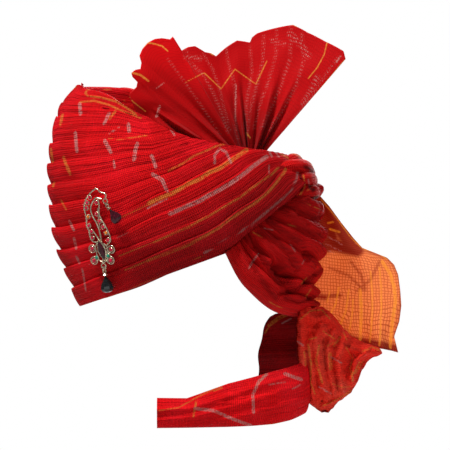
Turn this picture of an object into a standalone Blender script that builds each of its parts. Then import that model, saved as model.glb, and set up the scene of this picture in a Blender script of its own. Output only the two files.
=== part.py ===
# A tied turban pagri: pleated bands crossed at the forehead, rolls round the back of the head,
# a pleated fan on the crown, a tail that hangs behind and comes round the neck, and a kalgi pin.
# Metres. +X is the wearer's left, -Y the front, +Z up. The origin is the middle of the head's
# opening.
from collections import namedtuple
from math import cos, pi, radians, sin, sqrt

import bmesh
import bpy
from mathutils import Euler, Matrix, Vector

MM = 0.001

# Head hollow, as half axes, and how far the head is bowed
HEAD_HALF_LONG = 98 * MM
HEAD_HALF_WIDE = 78 * MM
HEAD_DEEP = 125 * MM
HEAD_BOW = radians(20)
CROWN_WALL = 2 * MM
CROWN_SIDES = 32
CROWN_ROWS = 12

# Clearances: cloth wound on the crown, cloth beside cloth, and metal beside metal
LAY_GAP = 1.6 * MM
TUCK_GAP = 1.2 * MM
FOLD_GAP = 1.8 * MM
CROSS_GAP = 3.6 * MM
METAL_GAP = 0.3 * MM

# Outer form of the winding
FRONT_REACH = 131 * MM
SIDE_REACH = 106 * MM
BACK_REACH = 142 * MM
CREST_HEIGHT = 207 * MM

# Bands
PLEAT_DEPTH = 4.5 * MM
CREST_THICK = 10 * MM
BAND_END = 163
CROSS_LOW = 8
CROSS_HIGH = 28
CROSS_WRAP = 36
CROSS_EDGE = 0.14
BAND_STEPS = 14

# Rolls and knot
ROLL_DROP = 91 * MM
NAPE_TUCK = 40 * MM
EAR_TUCK = 20 * MM
ROLL_STEPS = 6
ROLL_SIDES = 7
KNOT_TOP = 66 * MM
KNOT_GAP = 0.6

# Fan
FAN_REACH = 157 * MM
FAN_ROOT = 14 * MM
FAN_BACK = 50 * MM
FAN_UP = 92 * MM
FAN_WALL = 1.5 * MM
FAN_FOLD = 3.5 * MM
FAN_LAP = 10 * MM
FAN_CUP = 22 * MM

# Tail
VEIL_REACH = 84 * MM
VEIL_WALL = 1.2 * MM
VEIL_TURN = 14
VEIL_BELLY = 7 * MM
GATHER_WIDE = 82 * MM
GATHER_DROP = 93 * MM
GATHER_THICK = 13 * MM
GATHER_FOLD = 2.5 * MM
GATHER_SIDE = 38 * MM
GATHER_BACK = 98 * MM
GATHER_LEAN = 42 * MM
NECK_HALF_WIDE = 66 * MM
NECK_HALF_LONG = 88 * MM
NECK_BACK = 116 * MM
TAIL_DROP = 56 * MM
TAIL_FRONT = 42 * MM
WRAP_DROP = 165 * MM
WRAP_THICK = 10 * MM
WRAP_FOLD = 1.6 * MM
COLLAR_WALL = 2 * MM
COLLAR_DROP = 120 * MM
COLLAR_WAVE = 2 * MM

# Pin
PIN_TURN = 55
PIN_HEIGHT = 65 * MM
PIN_LEAN = radians(16)
PIN_TALL = 76 * MM
PIN_STAND = 2.6 * MM
WIRE = 0.8 * MM
SEAT = 2.3 * MM
SEAT_THICK = 1.6 * MM
LOOP = 4.0 * MM
STONE = 1.7 * MM
MARQUISE_LONG = 19 * MM
MARQUISE_WIDE = 7 * MM
RING = 2.4 * MM
RING_WIRE = 0.6 * MM
RING_LEVEL = 0.8 * MM
SIDE_LEVEL = 3.0 * MM
MAIN_DROP_LONG = 18 * MM
MAIN_DROP_WIDE = 14 * MM
MAIN_DROP_DEEP = 12 * MM
SIDE_DROP_LONG = 16.5 * MM
SIDE_DROP_WIDE = 13 * MM
SIDE_DROP_DEEP = 8 * MM

# Shares of the crest height and of the reach to the front, the side and the back
Form = namedtuple("Form", "height front side back")
FORM = [
    Form(-0.05, 0.990, 0.910, 0.930),
    Form(0.00, 0.995, 0.930, 0.945),
    Form(0.15, 1.000, 0.990, 1.000),
    Form(0.30, 1.000, 1.000, 0.915),
    Form(0.45, 0.965, 0.975, 0.770),
    Form(0.58, 0.905, 0.915, 0.660),
    Form(0.68, 0.850, 0.840, 0.580),
    Form(0.78, 0.775, 0.750, 0.500),
    Form(0.87, 0.690, 0.640, 0.440),
    Form(0.95, 0.585, 0.510, 0.370),
    Form(1.00, 0.440, 0.390, 0.300),
]

# Below the rim: shares of the roll drop, and of the reach to the side and the back
Nape = namedtuple("Nape", "drop side back")
NAPE = [
    Nape(0.00, 0.930, 0.945),
    Nape(0.33, 0.900, 0.880),
    Nape(0.66, 0.820, 0.755),
    Nape(1.00, 0.740, 0.670),
]

# Edges of the bands by the turn from the front in degrees, as shares of the crest height.
# Crowd is the power that draws the pleats towards the upper edge as they near the knot.
Edge = namedtuple("Edge", "turn lower near far crowd")
EDGES = [
    Edge(0, -0.007, 1.000, 1.000, 1.00),
    Edge(30, -0.008, 0.990, 0.990, 1.00),
    Edge(52, -0.010, 0.952, 0.975, 1.00),
    Edge(71, 0.000, 0.889, 0.947, 1.00),
    Edge(88, 0.010, 0.745, 0.900, 0.95),
    Edge(103, 0.010, 0.620, 0.780, 0.75),
    Edge(114, 0.050, 0.545, 0.620, 0.62),
    Edge(128, 0.100, 0.473, 0.500, 0.50),
    Edge(140, 0.134, 0.420, 0.430, 0.42),
    Edge(152, 0.176, 0.370, 0.370, 0.34),
    Edge(163, 0.200, 0.335, 0.335, 0.30),
]

# Lower edge of each pleat at the forehead, as a share of the band's width, and its depth. Each
# pleat's upper edge stands out over the foot of the next
Pleat = namedtuple("Pleat", "line depth")
PLEATS = [
    Pleat(0.000, 0.6),
    Pleat(0.094, 0.7),
    Pleat(0.199, 0.7),
    Pleat(0.295, 0.9),
    Pleat(0.405, 1.0),
    Pleat(0.511, 1.0),
    Pleat(0.602, 1.0),
    Pleat(0.698, 1.0),
    Pleat(0.784, 0.8),
    Pleat(0.894, 0.6),
    Pleat(0.950, 0.5),
]

# Creases between the rolls: turn from the back in degrees where each leaves the band, then the
# turn and drop at a third and two thirds of its way, and its drop at the back, as shares
Crease = namedtuple("Crease", "start turn_a drop_a turn_b drop_b back")
CREASES = [
    Crease(76.0, 69.0, 0.42, 45.0, 0.80, 0.93),
    Crease(68.0, 62.0, 0.27, 41.0, 0.62, 0.83),
    Crease(63.0, 57.5, 0.19, 40.0, 0.49, 0.68),
    Crease(57.0, 50.0, 0.02, 30.0, 0.27, 0.46),
    Crease(51.0, 45.0, -0.09, 25.0, 0.16, 0.30),
    Crease(42.0, 36.0, -0.18, 20.0, -0.02, 0.055),
    Crease(29.0, 25.0, -0.31, 13.0, -0.22, -0.187),
    Crease(25.0, 20.0, -0.39, 11.0, -0.41, -0.430),
]

# Rim of the fan by angle in degrees above the back, as shares of its reach
Rim = namedtuple("Rim", "angle reach")
FAN_MAIN_RIM = [
    Rim(48.0, 0.870), Rim(51.8, 0.957), Rim(59.6, 0.945), Rim(67.0, 0.948), Rim(73.5, 0.963),
    Rim(82.0, 0.910), Rim(87.0, 0.880), Rim(90.5, 0.815), Rim(95.7, 0.830), Rim(101.0, 0.800),
    Rim(107.0, 0.764), Rim(111.0, 0.850), Rim(117.0, 0.870), Rim(126.0, 0.860),
]
FAN_SIDE_RIM = [
    Rim(118.0, 0.860), Rim(120.0, 0.979), Rim(126.0, 1.026), Rim(133.0, 1.000), Rim(137.0, 0.937),
    Rim(141.0, 0.965), Rim(144.5, 0.900), Rim(151.0, 0.840), Rim(158.0, 0.720),
]

# Rows of the veil from its top: height on the rolls, then how far its left and right ends stand
# out from the rolls and hang below that height, as shares of the roll drop and the veil's reach
VeilRow = namedtuple("VeilRow", "height near_out near_down far_out far_down")
VEIL = [
    VeilRow(0.43, 0.00, 0.00, 0.04, 0.00),
    VeilRow(0.19, 0.00, 0.00, 0.06, 0.00),
    VeilRow(0.00, 0.00, 0.00, 0.19, 0.00),
    VeilRow(-0.275, 0.00, 0.00, 0.36, 0.00),
    VeilRow(-0.385, 0.00, 0.00, 0.58, 0.00),
    VeilRow(-0.495, 0.00, 0.00, 0.85, 0.03),
    VeilRow(-0.68, 0.00, 0.00, 0.96, 0.06),
    VeilRow(-0.90, 0.00, 0.00, 0.97, 0.06),
    VeilRow(-0.90, 0.12, 0.21, 0.95, 0.28),
    VeilRow(-0.90, 0.27, 0.42, 0.90, 0.40),
    VeilRow(-0.90, 0.34, 0.50, 0.95, 0.55),
]

# Rows of the gather from its top, as shares of its drop and its width from its left end
GatherRow = namedtuple("GatherRow", "drop left right thick")
GATHER = [
    GatherRow(0.00, 0.04, 0.42, 0.70),
    GatherRow(0.22, 0.02, 0.60, 0.90),
    GatherRow(0.43, 0.00, 1.00, 0.80),
    GatherRow(0.54, 0.01, 0.83, 1.00),
    GatherRow(0.70, 0.03, 0.71, 1.00),
    GatherRow(0.86, 0.05, 0.57, 0.90),
    GatherRow(1.00, 0.08, 0.35, 0.60),
]

# Stations of the wrap from the gather to the cut end: turn round the neck in degrees from the
# back, share of the way ahead to the cut, top and bottom as shares of its drop, and thickness
WrapRow = namedtuple("WrapRow", "turn ahead top bottom thick")
WRAP = [
    WrapRow(37.0, 0.00, 0.620, 0.940, 0.90),
    WrapRow(48.0, 0.00, 0.642, 0.965, 1.00),
    WrapRow(60.0, 0.00, 0.675, 0.980, 1.00),
    WrapRow(75.0, 0.00, 0.710, 0.988, 1.00),
    WrapRow(90.0, 0.00, 0.752, 0.992, 0.95),
    WrapRow(90.0, 0.33, 0.800, 0.994, 0.90),
    WrapRow(90.0, 0.58, 0.830, 0.996, 0.90),
    WrapRow(90.0, 1.00, 0.832, 1.000, 0.85),
]

# Stations of the collar: turn round the neck from the back to the far side, in degrees, and its
# top edge as a share of its drop
CollarRow = namedtuple("CollarRow", "turn top")
COLLAR = [
    CollarRow(-17.0, 0.49), CollarRow(20.0, 0.49), CollarRow(37.0, 0.49), CollarRow(53.0, 0.52),
    CollarRow(66.0, 0.59), CollarRow(69.5, 0.66),
]

# Pin: places of stones and wires as shares of its height, across and up from its middle
Spot = namedtuple("Spot", "across up")
LEAF_STONES = [
    Spot(-0.130, 0.393), Spot(-0.174, 0.321), Spot(-0.197, 0.254), Spot(-0.182, 0.141),
    Spot(-0.188, 0.026), Spot(-0.158, -0.050), Spot(-0.155, -0.134),
]
COLUMN_STONES = [
    Spot(-0.036, 0.321), Spot(-0.054, 0.174), Spot(-0.020, 0.080), Spot(0.020, 0.005),
    Spot(0.056, -0.074), Spot(0.074, -0.168),
]
GREEN_STONES = [Spot(-0.122, -0.392), Spot(0.050, -0.372)]
LOOPS = [Spot(-0.178, -0.275), Spot(0.098, -0.290), Spot(-0.168, -0.428), Spot(0.074, -0.430)]
MARQUISE = Spot(-0.030, -0.296)
MARQUISE_TILT = radians(14)
BOTTOM_RING = Spot(-0.040, -0.500)
SIDE_RING = Spot(0.090, 0.335)
WIRES = {
    "leaf": [
        Spot(-0.070, -0.190), Spot(-0.155, -0.182), Spot(-0.190, -0.115), Spot(-0.195, -0.045),
        Spot(-0.222, 0.030), Spot(-0.216, 0.141), Spot(-0.232, 0.254), Spot(-0.206, 0.340),
        Spot(-0.148, 0.418), Spot(-0.030, 0.495), Spot(0.040, 0.450), Spot(0.105, 0.425),
        Spot(0.093, 0.360),
    ],
    "curl": [
        Spot(0.035, 0.360), Spot(-0.046, 0.378), Spot(-0.130, 0.275), Spot(-0.128, 0.170),
        Spot(-0.070, 0.050), Spot(-0.040, -0.067), Spot(-0.030, -0.215),
    ],
    "spur": [Spot(-0.150, -0.026), Spot(-0.100, -0.100), Spot(-0.055, -0.175)],
    "column": [
        Spot(-0.020, 0.376), Spot(-0.004, 0.310), Spot(-0.020, 0.180), Spot(0.012, 0.092),
        Spot(0.052, 0.015), Spot(0.090, -0.070), Spot(0.106, -0.165), Spot(0.060, -0.222),
        Spot(0.000, -0.240),
    ],
    "cradle_fore": [
        Spot(-0.068, -0.175), Spot(-0.122, -0.240), Spot(-0.122, -0.310), Spot(-0.112, -0.380),
        Spot(-0.085, -0.430), Spot(-0.035, -0.452),
    ],
    "cradle_aft": [
        Spot(0.000, -0.215), Spot(0.044, -0.255), Spot(0.048, -0.320), Spot(0.040, -0.380),
        Spot(0.015, -0.430), Spot(-0.035, -0.456),
    ],
    "foot": [Spot(-0.035, -0.400), Spot(-0.040, -0.440), Spot(-0.040, -0.475)],
}


def read(rows, at, column):
    """Value of one column between the rows of a table whose first column rises."""
    keys = [row[0] for row in rows]
    if at <= keys[0]:
        return getattr(rows[0], column)
    if at >= keys[-1]:
        return getattr(rows[-1], column)
    i = max(k for k in range(len(keys) - 1) if keys[k] <= at)
    span = keys[i + 1] - keys[i]
    t = (at - keys[i]) / span

    def slope(k):
        low, high = max(k - 1, 0), min(k + 1, len(rows) - 1)
        rise = getattr(rows[high], column) - getattr(rows[low], column)
        return rise / (keys[high] - keys[low])

    start, end = getattr(rows[i], column), getattr(rows[i + 1], column)
    return ((2 * t**3 - 3 * t**2 + 1) * start + (t**3 - 2 * t**2 + t) * span * slope(i)
            + (3 * t**2 - 2 * t**3) * end + (t**3 - t**2) * span * slope(i + 1))


def spline(points, t):
    """Point at share t of a smooth curve through a few points."""
    last = len(points) - 1
    place = min(t * last, last - 1e-9)
    i = int(place)
    u = place - i
    a, b = points[max(i - 1, 0)], points[i]
    c, d = points[i + 1], points[min(i + 2, last)]
    return 0.5 * (2 * b + (c - a) * u + (2 * a - 5 * b + 4 * c - d) * u**2
                  + (3 * b - a - 3 * c + d) * u**3)


def material(name, colour, roughness, metallic=0.0):
    made = bpy.data.materials.new(name)
    made.use_nodes = True
    shader = made.node_tree.nodes["Principled BSDF"]
    shader.inputs["Base Color"].default_value = (*colour, 1)
    shader.inputs["Roughness"].default_value = roughness
    shader.inputs["Metallic"].default_value = metallic
    return made


def add_object(name, mesh, finish, parent=None):
    mesh.materials.clear()
    mesh.materials.append(finish)
    made = bpy.data.objects.new(name, mesh)
    pagri.objects.link(made)
    made.parent = parent
    return made


def finish_mesh(name, shape, finish, parent=None):
    """Close a bmesh into a named object with its faces pointing out."""
    bmesh.ops.recalc_face_normals(shape, faces=shape.faces)
    mesh = bpy.data.meshes.new(name)
    shape.to_mesh(mesh)
    shape.free()
    mesh.shade_smooth()
    mesh.set_sharp_from_angle(angle=radians(40))
    return add_object(name, mesh, finish, parent)


def cap(shape, outer, inner):
    """Fill the end of a wall between its outer and inner chains, point by point."""
    i, j = 0, 0
    while i < len(outer) - 1 or j < len(inner) - 1:
        outer_next = (i + 1) / (len(outer) - 1)
        inner_next = (j + 1) / (len(inner) - 1)
        if outer_next <= inner_next:
            shape.faces.new((outer[i], inner[j], outer[i + 1]))
            i += 1
        else:
            shape.faces.new((outer[i], inner[j], inner[j + 1]))
            j += 1


def wall(name, outers, inners, finish, parent=None):
    """Closed wall lofted through sections, each an outer and an inner chain of points."""
    shape = bmesh.new()
    rings = []
    for outer, inner in zip(outers, inners):
        out = [shape.verts.new(p) for p in outer]
        into = [shape.verts.new(p) for p in inner]
        rings.append((out, into))
    for (out_a, in_a), (out_b, in_b) in zip(rings, rings[1:]):
        loop_a = out_a + in_a[::-1]
        loop_b = out_b + in_b[::-1]
        for k in range(len(loop_a)):
            n = (k + 1) % len(loop_a)
            shape.faces.new((loop_a[k], loop_a[n], loop_b[n], loop_b[k]))
    cap(shape, *rings[0])
    cap(shape, *rings[-1])
    return finish_mesh(name, shape, finish, parent)


def sheet(name, rows, thickness, finish, parent=None):
    """Sheet of cloth through rows of points, with its wall from Solidify."""
    shape = bmesh.new()
    grid = [[shape.verts.new(p) for p in row] for row in rows]
    for low, high in zip(grid, grid[1:]):
        for k in range(len(low) - 1):
            shape.faces.new((low[k], low[k + 1], high[k + 1], high[k]))
    made = finish_mesh(name, shape, finish, parent)
    cloth = made.modifiers.new("cloth", "SOLIDIFY")
    cloth.thickness = thickness
    cloth.offset = 0
    cloth.use_even_offset = True
    return made


def wrap_point(turn, up, stand=0.0):
    """Point of the outer form at a turn from the front and a height, in the head's frame."""
    share = up / CREST_HEIGHT
    side = SIDE_REACH * read(FORM, share, "side")
    front, back = FRONT_REACH * read(FORM, share, "front"), BACK_REACH * read(FORM, share, "back")
    along = front if cos(radians(turn)) > 0 else back
    across, ahead = sin(radians(turn)), cos(radians(turn))
    out = Vector((across / side, -ahead / along, 0)).normalized()
    return Vector((side * across, -along * ahead, up)) + out * stand


def core_point(turn, up, clear=LAY_GAP):
    """Point on the crown's outside, or on the neck below it, moved out by a clearance."""
    wide = HEAD_HALF_WIDE + CROWN_WALL + clear
    long = HEAD_HALF_LONG + CROWN_WALL + clear
    if up > 0:
        ring = sqrt(max(0.0, 1 - (up / (HEAD_DEEP + CROWN_WALL + clear)) ** 2))
        wide, long = wide * ring, long * ring
    else:
        fall = min(1.0, -up / ROLL_DROP)
        wide -= EAR_TUCK * fall
        long -= NAPE_TUCK * fall if cos(radians(turn)) < 0 else 0
    return Vector((wide * sin(radians(turn)), -long * cos(radians(turn)), up))


def band_height(turn, share, side, crowded=True):
    """Height of the line that runs along a band at a share of its width."""
    turn = abs(turn)
    lower = CREST_HEIGHT * read(EDGES, turn, "lower")
    upper = CREST_HEIGHT * read(EDGES, turn, side)
    crowd = read(EDGES, turn, "crowd") if crowded else 1
    return lower + (upper - lower) * share**crowd


def band_chains(turn_at, side, lap):
    """Outer and inner chains of a band's section. Turn_at gives the turn of each line, and lap
    how deep the outer and inner faces lie between the crown (0) and the pleats (1)."""
    outer, inner = [], []
    lines = [pleat.line for pleat in PLEATS] + [1.0]
    for k, pleat in enumerate(PLEATS):
        width = lines[k + 1] - lines[k]
        for place, stand in ((0.03, -0.8), (0.5, -0.35), (0.9, 0.0)):
            share = lines[k] + width * place
            outer.append(band_outer(turn_at(share), share, side, pleat.depth, stand, lap))
    outer.append(band_outer(turn_at(1.0), 1.0, side, PLEATS[-1].depth, -1.0, lap))
    for share in (0.0, 0.16, 0.32, 0.48, 0.62, 0.74, 0.85, 0.93, 0.99):
        turn = turn_at(share)
        face = band_inner(turn, share, side)
        inner.append(face.lerp(band_skin(turn, share, side), lap[1](turn, share)))
    return outer, inner


def band_skin(turn, share, side):
    return wrap_point(turn, band_height(turn, share, side, False), -PLEAT_DEPTH)


def band_inner(turn, share, side):
    """Inner face: on the crown up to where the band leaves it, then up to the crest."""
    up = band_height(turn, share, side, False)
    top = band_height(turn, 1.0, side)
    leave = 0.78 * min(top, HEAD_DEEP)
    if up <= leave:
        return core_point(turn, up)
    crest = wrap_point(turn, top, -PLEAT_DEPTH - CREST_THICK)
    return core_point(turn, leave).lerp(crest, (up - leave) / (top - leave))


def band_outer(turn, share, side, depth, stand, lap):
    up = band_height(turn, share, side)
    width = band_height(turn, 1.0, side) - band_height(turn, 0.0, side)
    relief = min(PLEAT_DEPTH * depth, 0.04 * width)
    full = wrap_point(turn, up, stand * relief)
    depth_in = lap[0](turn, share)
    if depth_in >= 1:
        return full
    inner = band_inner(turn, share, side)
    flat = band_skin(turn, share, side)
    inset = max(0.02, depth_in - CROSS_GAP / (flat - inner).length)
    return inner.lerp(flat.lerp(full, max(0.0, 4 * depth_in - 3)), inset)


def cross_turn(share):
    """Turn, past the front, at which the near band's end lies on the far band."""
    return -CROSS_LOW - (CROSS_HIGH - CROSS_LOW) * share


def build_near_band(finish, parent):
    def lap_inner(turn, share):
        return max(0.0, (1 - CROSS_EDGE) * (1 - (turn - cross_turn(share)) / CROSS_WRAP))

    stations = [0, 0.33 * CROSS_WRAP, 0.66 * CROSS_WRAP, CROSS_WRAP]
    chains = []
    for step in stations:
        chains.append(band_chains(lambda share: cross_turn(share) + step, "near",
                                  (lambda turn, share: 1.0, lap_inner)))
    for k in range(1, BAND_STEPS + 1):
        def turn_at(share):
            first = cross_turn(share) + CROSS_WRAP
            return first + (BAND_END - first) * k / BAND_STEPS
        chains.append(band_chains(turn_at, "near", (lambda turn, share: 1.0, lap_inner)))
    return wall("near_band", [c[0] for c in chains], [c[1] for c in chains], finish, parent)


def build_far_band(finish, parent):
    def lap_outer(turn, share):
        past = turn - cross_turn(share)
        rise = min(1.0, max(0.0, (-past - 1.2) / 9))
        return (1 - CROSS_EDGE) * (1 - max(0.0, past) / CROSS_WRAP) + CROSS_EDGE * rise

    stations = [0.88 * CROSS_WRAP, 0.44 * CROSS_WRAP, 0, -1.2, -10.5]
    chains = []
    for step in stations:
        chains.append(band_chains(lambda share: cross_turn(share) + step, "far",
                                  (lap_outer, lambda turn, share: 0.0)))
    for k in range(1, BAND_STEPS + 1):
        def turn_at(share):
            first = cross_turn(share) + stations[-1]
            return first + (-BAND_END - first) * k / BAND_STEPS
        chains.append(band_chains(turn_at, "far", (lap_outer, lambda turn, share: 0.0)))
    return wall("far_band", [c[0] for c in chains], [c[1] for c in chains], finish, parent)


def build_crown(finish, parent):
    """Thin dome of the first turns: a half ellipsoid with its wall from Solidify."""
    shape = bmesh.new()
    bmesh.ops.create_uvsphere(shape, u_segments=CROWN_SIDES, v_segments=CROWN_ROWS, radius=1)
    below = [v for v in shape.verts if v.co.z < -1e-6]
    bmesh.ops.delete(shape, geom=below, context="VERTS")
    half = Vector((HEAD_HALF_WIDE, HEAD_HALF_LONG, HEAD_DEEP)) + Vector((CROWN_WALL,) * 3)
    bmesh.ops.scale(shape, vec=half, verts=shape.verts)
    made = finish_mesh("crown_base", shape, finish, parent)
    cloth = made.modifiers.new("cloth", "SOLIDIFY")
    cloth.thickness = CROWN_WALL
    cloth.offset = -1
    return made


def roll_skin(turn, up):
    """Outer reach of the rolls at a turn from the back and a height."""
    if up >= 0:
        return wrap_point(180 - turn, up)
    drop = -up / ROLL_DROP
    side = SIDE_REACH * read(NAPE, drop, "side")
    back = BACK_REACH * read(NAPE, drop, "back")
    return Vector((side * sin(radians(turn)), back * cos(radians(turn)), up))


def crease_at(crease, t):
    """Turn and height of a crease at share t of its way from the band to the back."""
    lower = CREST_HEIGHT * read(EDGES, 180 - crease.start, "lower")
    start = Vector((crease.start, (lower - TUCK_GAP) / ROLL_DROP, 0))
    points = [
        start,
        Vector((crease.turn_a, -crease.drop_a, 0)),
        Vector((crease.turn_b, -crease.drop_b, 0)),
        Vector((0, -crease.back, 0)),
        Vector((-crease.turn_b, -crease.drop_b, 0)),
    ]
    place = spline(points, 0.75 * t)
    return place.x, place.y * ROLL_DROP


def build_roll(name, below, above, finish, parent):
    """Roll between two creases, from under the near band round the back to the far band."""
    outers, inners = [], []
    for k in range(-ROLL_STEPS, ROLL_STEPS + 1):
        t = 1 - abs(k) / ROLL_STEPS
        hand = -1 if k > 0 else 1
        low_turn, low_up = crease_at(below, t)
        high_turn, high_up = crease_at(above, t)
        low_skin, high_skin = roll_skin(low_turn, low_up), roll_skin(high_turn, high_up)
        width = (low_skin - high_skin).length
        edge = min(0.3, 0.5 * FOLD_GAP / width)
        swell = 0.62 + 0.38 * sin(0.5 * pi * min(1.0, 2.5 * t))
        outer, inner = [], []
        for n in range(ROLL_SIDES + 1):
            across = edge + (1 - 2 * edge) * n / ROLL_SIDES
            turn = low_turn + (high_turn - low_turn) * across
            up = low_up + (high_up - low_up) * across
            lobe = 0.5 + 0.5 * sqrt(1 - (1.98 * across - 0.99) ** 2)
            core = core_point(180 - turn, up)
            outer.append(core.lerp(roll_skin(turn, up), lobe * swell))
        for n in range(3):
            across = edge + (1 - 2 * edge) * n / 2
            turn = low_turn + (high_turn - low_turn) * across
            up = low_up + (high_up - low_up) * across
            inner.append(core_point(180 - turn, up))
        outers.append([Vector((hand * p.x, p.y, p.z)) for p in outer])
        inners.append([Vector((hand * p.x, p.y, p.z)) for p in inner])
    return wall(name, outers, inners, finish, parent)


def build_knot(finish, parent):
    """Tuck that closes the winding where the two bands end at the back of the crown."""
    reach = 180 - BAND_END - KNOT_GAP
    base = -CREASES[-1].back * ROLL_DROP + TUCK_GAP
    outers, inners = [], []
    for k in range(7):
        turn = reach * (1 - 2 * k / 6)
        top = KNOT_TOP - 0.12 * KNOT_TOP * (abs(turn) / reach) ** 2
        outer, inner = [], []
        for n in range(9):
            share = n / 8
            up = base + (top - base) * share
            lobe = 0.9 + 0.1 * abs(sin(2 * pi * share))
            outer.append(core_point(180 - turn, up).lerp(wrap_point(180 - turn, up), lobe))
        for n in range(3):
            inner.append(core_point(180 - turn, base + (top - base) * n / 2))
        outers.append(outer)
        inners.append(inner)
    return wall("back_knot", outers, inners, finish, parent)


def to_head(point):
    return Euler((-HEAD_BOW, 0, 0)).to_matrix() @ point


def to_world(point):
    return Euler((HEAD_BOW, 0, 0)).to_matrix() @ point


def fan_root(direction, start):
    """Distance along a direction at which a sheet from start leaves the crown."""
    clear = CROWN_WALL + LAY_GAP + FAN_WALL + 0.5 * FAN_FOLD
    half = Vector((HEAD_HALF_WIDE, HEAD_HALF_LONG, HEAD_DEEP)) + Vector((clear,) * 3)
    p, d = to_head(start), to_head(direction)
    p = Vector(p[i] / half[i] for i in range(3))
    d = Vector(d[i] / half[i] for i in range(3))
    inside = p.dot(d) ** 2 - d.dot(d) * (p.dot(p) - 1)
    if inside <= 0:
        return FAN_ROOT
    return max(FAN_ROOT, (sqrt(inside) - p.dot(d)) / d.dot(d))


def build_fan(name, rim, folds, lift, finish):
    """Accordion-pleated sheet that spreads from the crown, cupped towards the near side."""
    first, last = rim[0].angle, rim[-1].angle
    rows = []
    columns = 2 * folds
    for r in range(5):
        row = []
        for c in range(columns + 1):
            angle = first + (last - first) * c / columns
            direction = Vector((0, cos(radians(angle)), sin(radians(angle))))
            start = Vector((lift, FAN_BACK, FAN_UP))
            root = fan_root(direction, start)
            reach = FAN_REACH * read(rim, angle, "reach")
            along = root + (reach - root) * r / 4
            fold = FAN_FOLD * (0.12 + 0.88 * along / FAN_REACH) * (1 if c % 2 else -1)
            cup = FAN_CUP * ((angle - 98) / 60) ** 2 * (along / FAN_REACH) ** 2
            row.append(start + direction * along + Vector((fold + cup, 0, 0)))
        rows.append(row)
    return sheet(name, rows, FAN_WALL, finish)


def build_veil(finish):
    """Sheer free part of the tail, from under the knot down behind the rolls."""
    rows = []
    for row in VEIL:
        skin = to_world(roll_skin(-VEIL_TURN, row.height * ROLL_DROP))
        near = skin + Vector((0, TUCK_GAP + VEIL_WALL + row.near_out * VEIL_REACH,
                              -row.near_down * VEIL_REACH))
        far = skin + Vector((0, TUCK_GAP + VEIL_WALL + row.far_out * VEIL_REACH,
                             -row.far_down * VEIL_REACH))
        far.x += VEIL_BELLY
        points = []
        for c in range(8):
            share = c / 7
            point = near.lerp(far, share)
            point.x -= VEIL_BELLY * sin(2 * pi * share) * row.far_out
            points.append(point)
        rows.append(points)
    return sheet("tail_veil", rows, VEIL_WALL, finish)


def neck_point(turn, up, out=0.0, ahead=0.0):
    """Point round the neck at a turn from the back, towards the near side when positive, and at
    a share of the straight way ahead from the neck's middle to the cut end of the tail."""
    across, along = sin(radians(turn)), cos(radians(turn))
    middle = NECK_BACK - NECK_HALF_LONG
    forward = (middle + TAIL_FRONT) * ahead
    return Vector(((NECK_HALF_WIDE + out) * across,
                   middle + (NECK_HALF_LONG + out) * along - forward, up))


def build_gather(finish):
    """Crumpled folds of the tail below the veil, hanging on the near side of the back."""
    outers, inners = [], []
    for row in GATHER:
        outer, inner = [], []
        for c in range(11):
            share = row.left + (row.right - row.left) * c / 10
            place = Vector((GATHER_SIDE - GATHER_LEAN * share, GATHER_BACK + GATHER_WIDE * share,
                            -TAIL_DROP - GATHER_DROP * row.drop))
            fold = GATHER_FOLD * sin(1.6 * pi * c)
            half = 0.5 * GATHER_THICK * row.thick * sqrt(1 - (0.19 * c - 0.95) ** 2)
            outer.append(place + Vector((half + fold, 0.5 * (half + fold), 0)))
            inner.append(place + Vector((fold - half, 0.5 * (fold - half), 0)))
        outers.append(outer)
        inners.append(inner)
    return wall("tail_gather", outers, inners, finish)


def build_wrap(finish):
    """Folded band that comes forward round the near side of the neck to its cut end."""
    outers, inners = [], []
    for row in WRAP:
        outer, inner = [], []
        for n in range(9):
            share = n / 8
            up = -WRAP_DROP * (row.bottom + (row.top - row.bottom) * share)
            round_off = sqrt(1 - (1.8 * share - 0.9) ** 2)
            fold = WRAP_FOLD * sin(6 * pi * share)
            out = row.thick * WRAP_THICK * round_off + fold
            outer.append(neck_point(row.turn, up, out, row.ahead))
            inner.append(neck_point(row.turn, up, 0, row.ahead))
        outers.append(outer)
        inners.append(inner)
    return wall("tail_wrap", outers, inners, finish)


def build_collar(finish):
    """Part behind the neck, on the far side, open to the near side."""
    rows = []
    for k in range(11):
        turn = COLLAR[0].turn + (COLLAR[-1].turn - COLLAR[0].turn) * k / 10
        top = read(COLLAR, turn, "top")
        row = []
        for n in range(4):
            up = -COLLAR_DROP * (top + (1 - top) * n / 3)
            row.append(neck_point(-turn, up, COLLAR_WAVE * sin(1.5 * pi * n / 3)))
        rows.append(row)
    return sheet("tail_collar", rows, COLLAR_WALL, finish)


def pin_place(spot, out=0.0):
    return Vector((spot.across * PIN_TALL, spot.up * PIN_TALL, out))


def pin_frame():
    """Empty at the pin's middle: X across it, Y up it, Z out of the cloth."""
    seat = wrap_point(PIN_TURN, PIN_HEIGHT, PIN_STAND)
    turn = radians(PIN_TURN)
    out = Vector((sin(turn) / SIDE_REACH, -cos(turn) / FRONT_REACH, 0)).normalized()
    along = Vector((-out.y, out.x, 0))
    across = along * cos(PIN_LEAN) - Vector((0, 0, sin(PIN_LEAN)))
    up = out.cross(across)
    axes = Matrix((across, up, out)).transposed().to_4x4()
    seat_at = bpy.data.objects.new("pin_seat", None)
    seat_at.matrix_local = Matrix.Translation(seat) @ axes
    return seat_at


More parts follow.
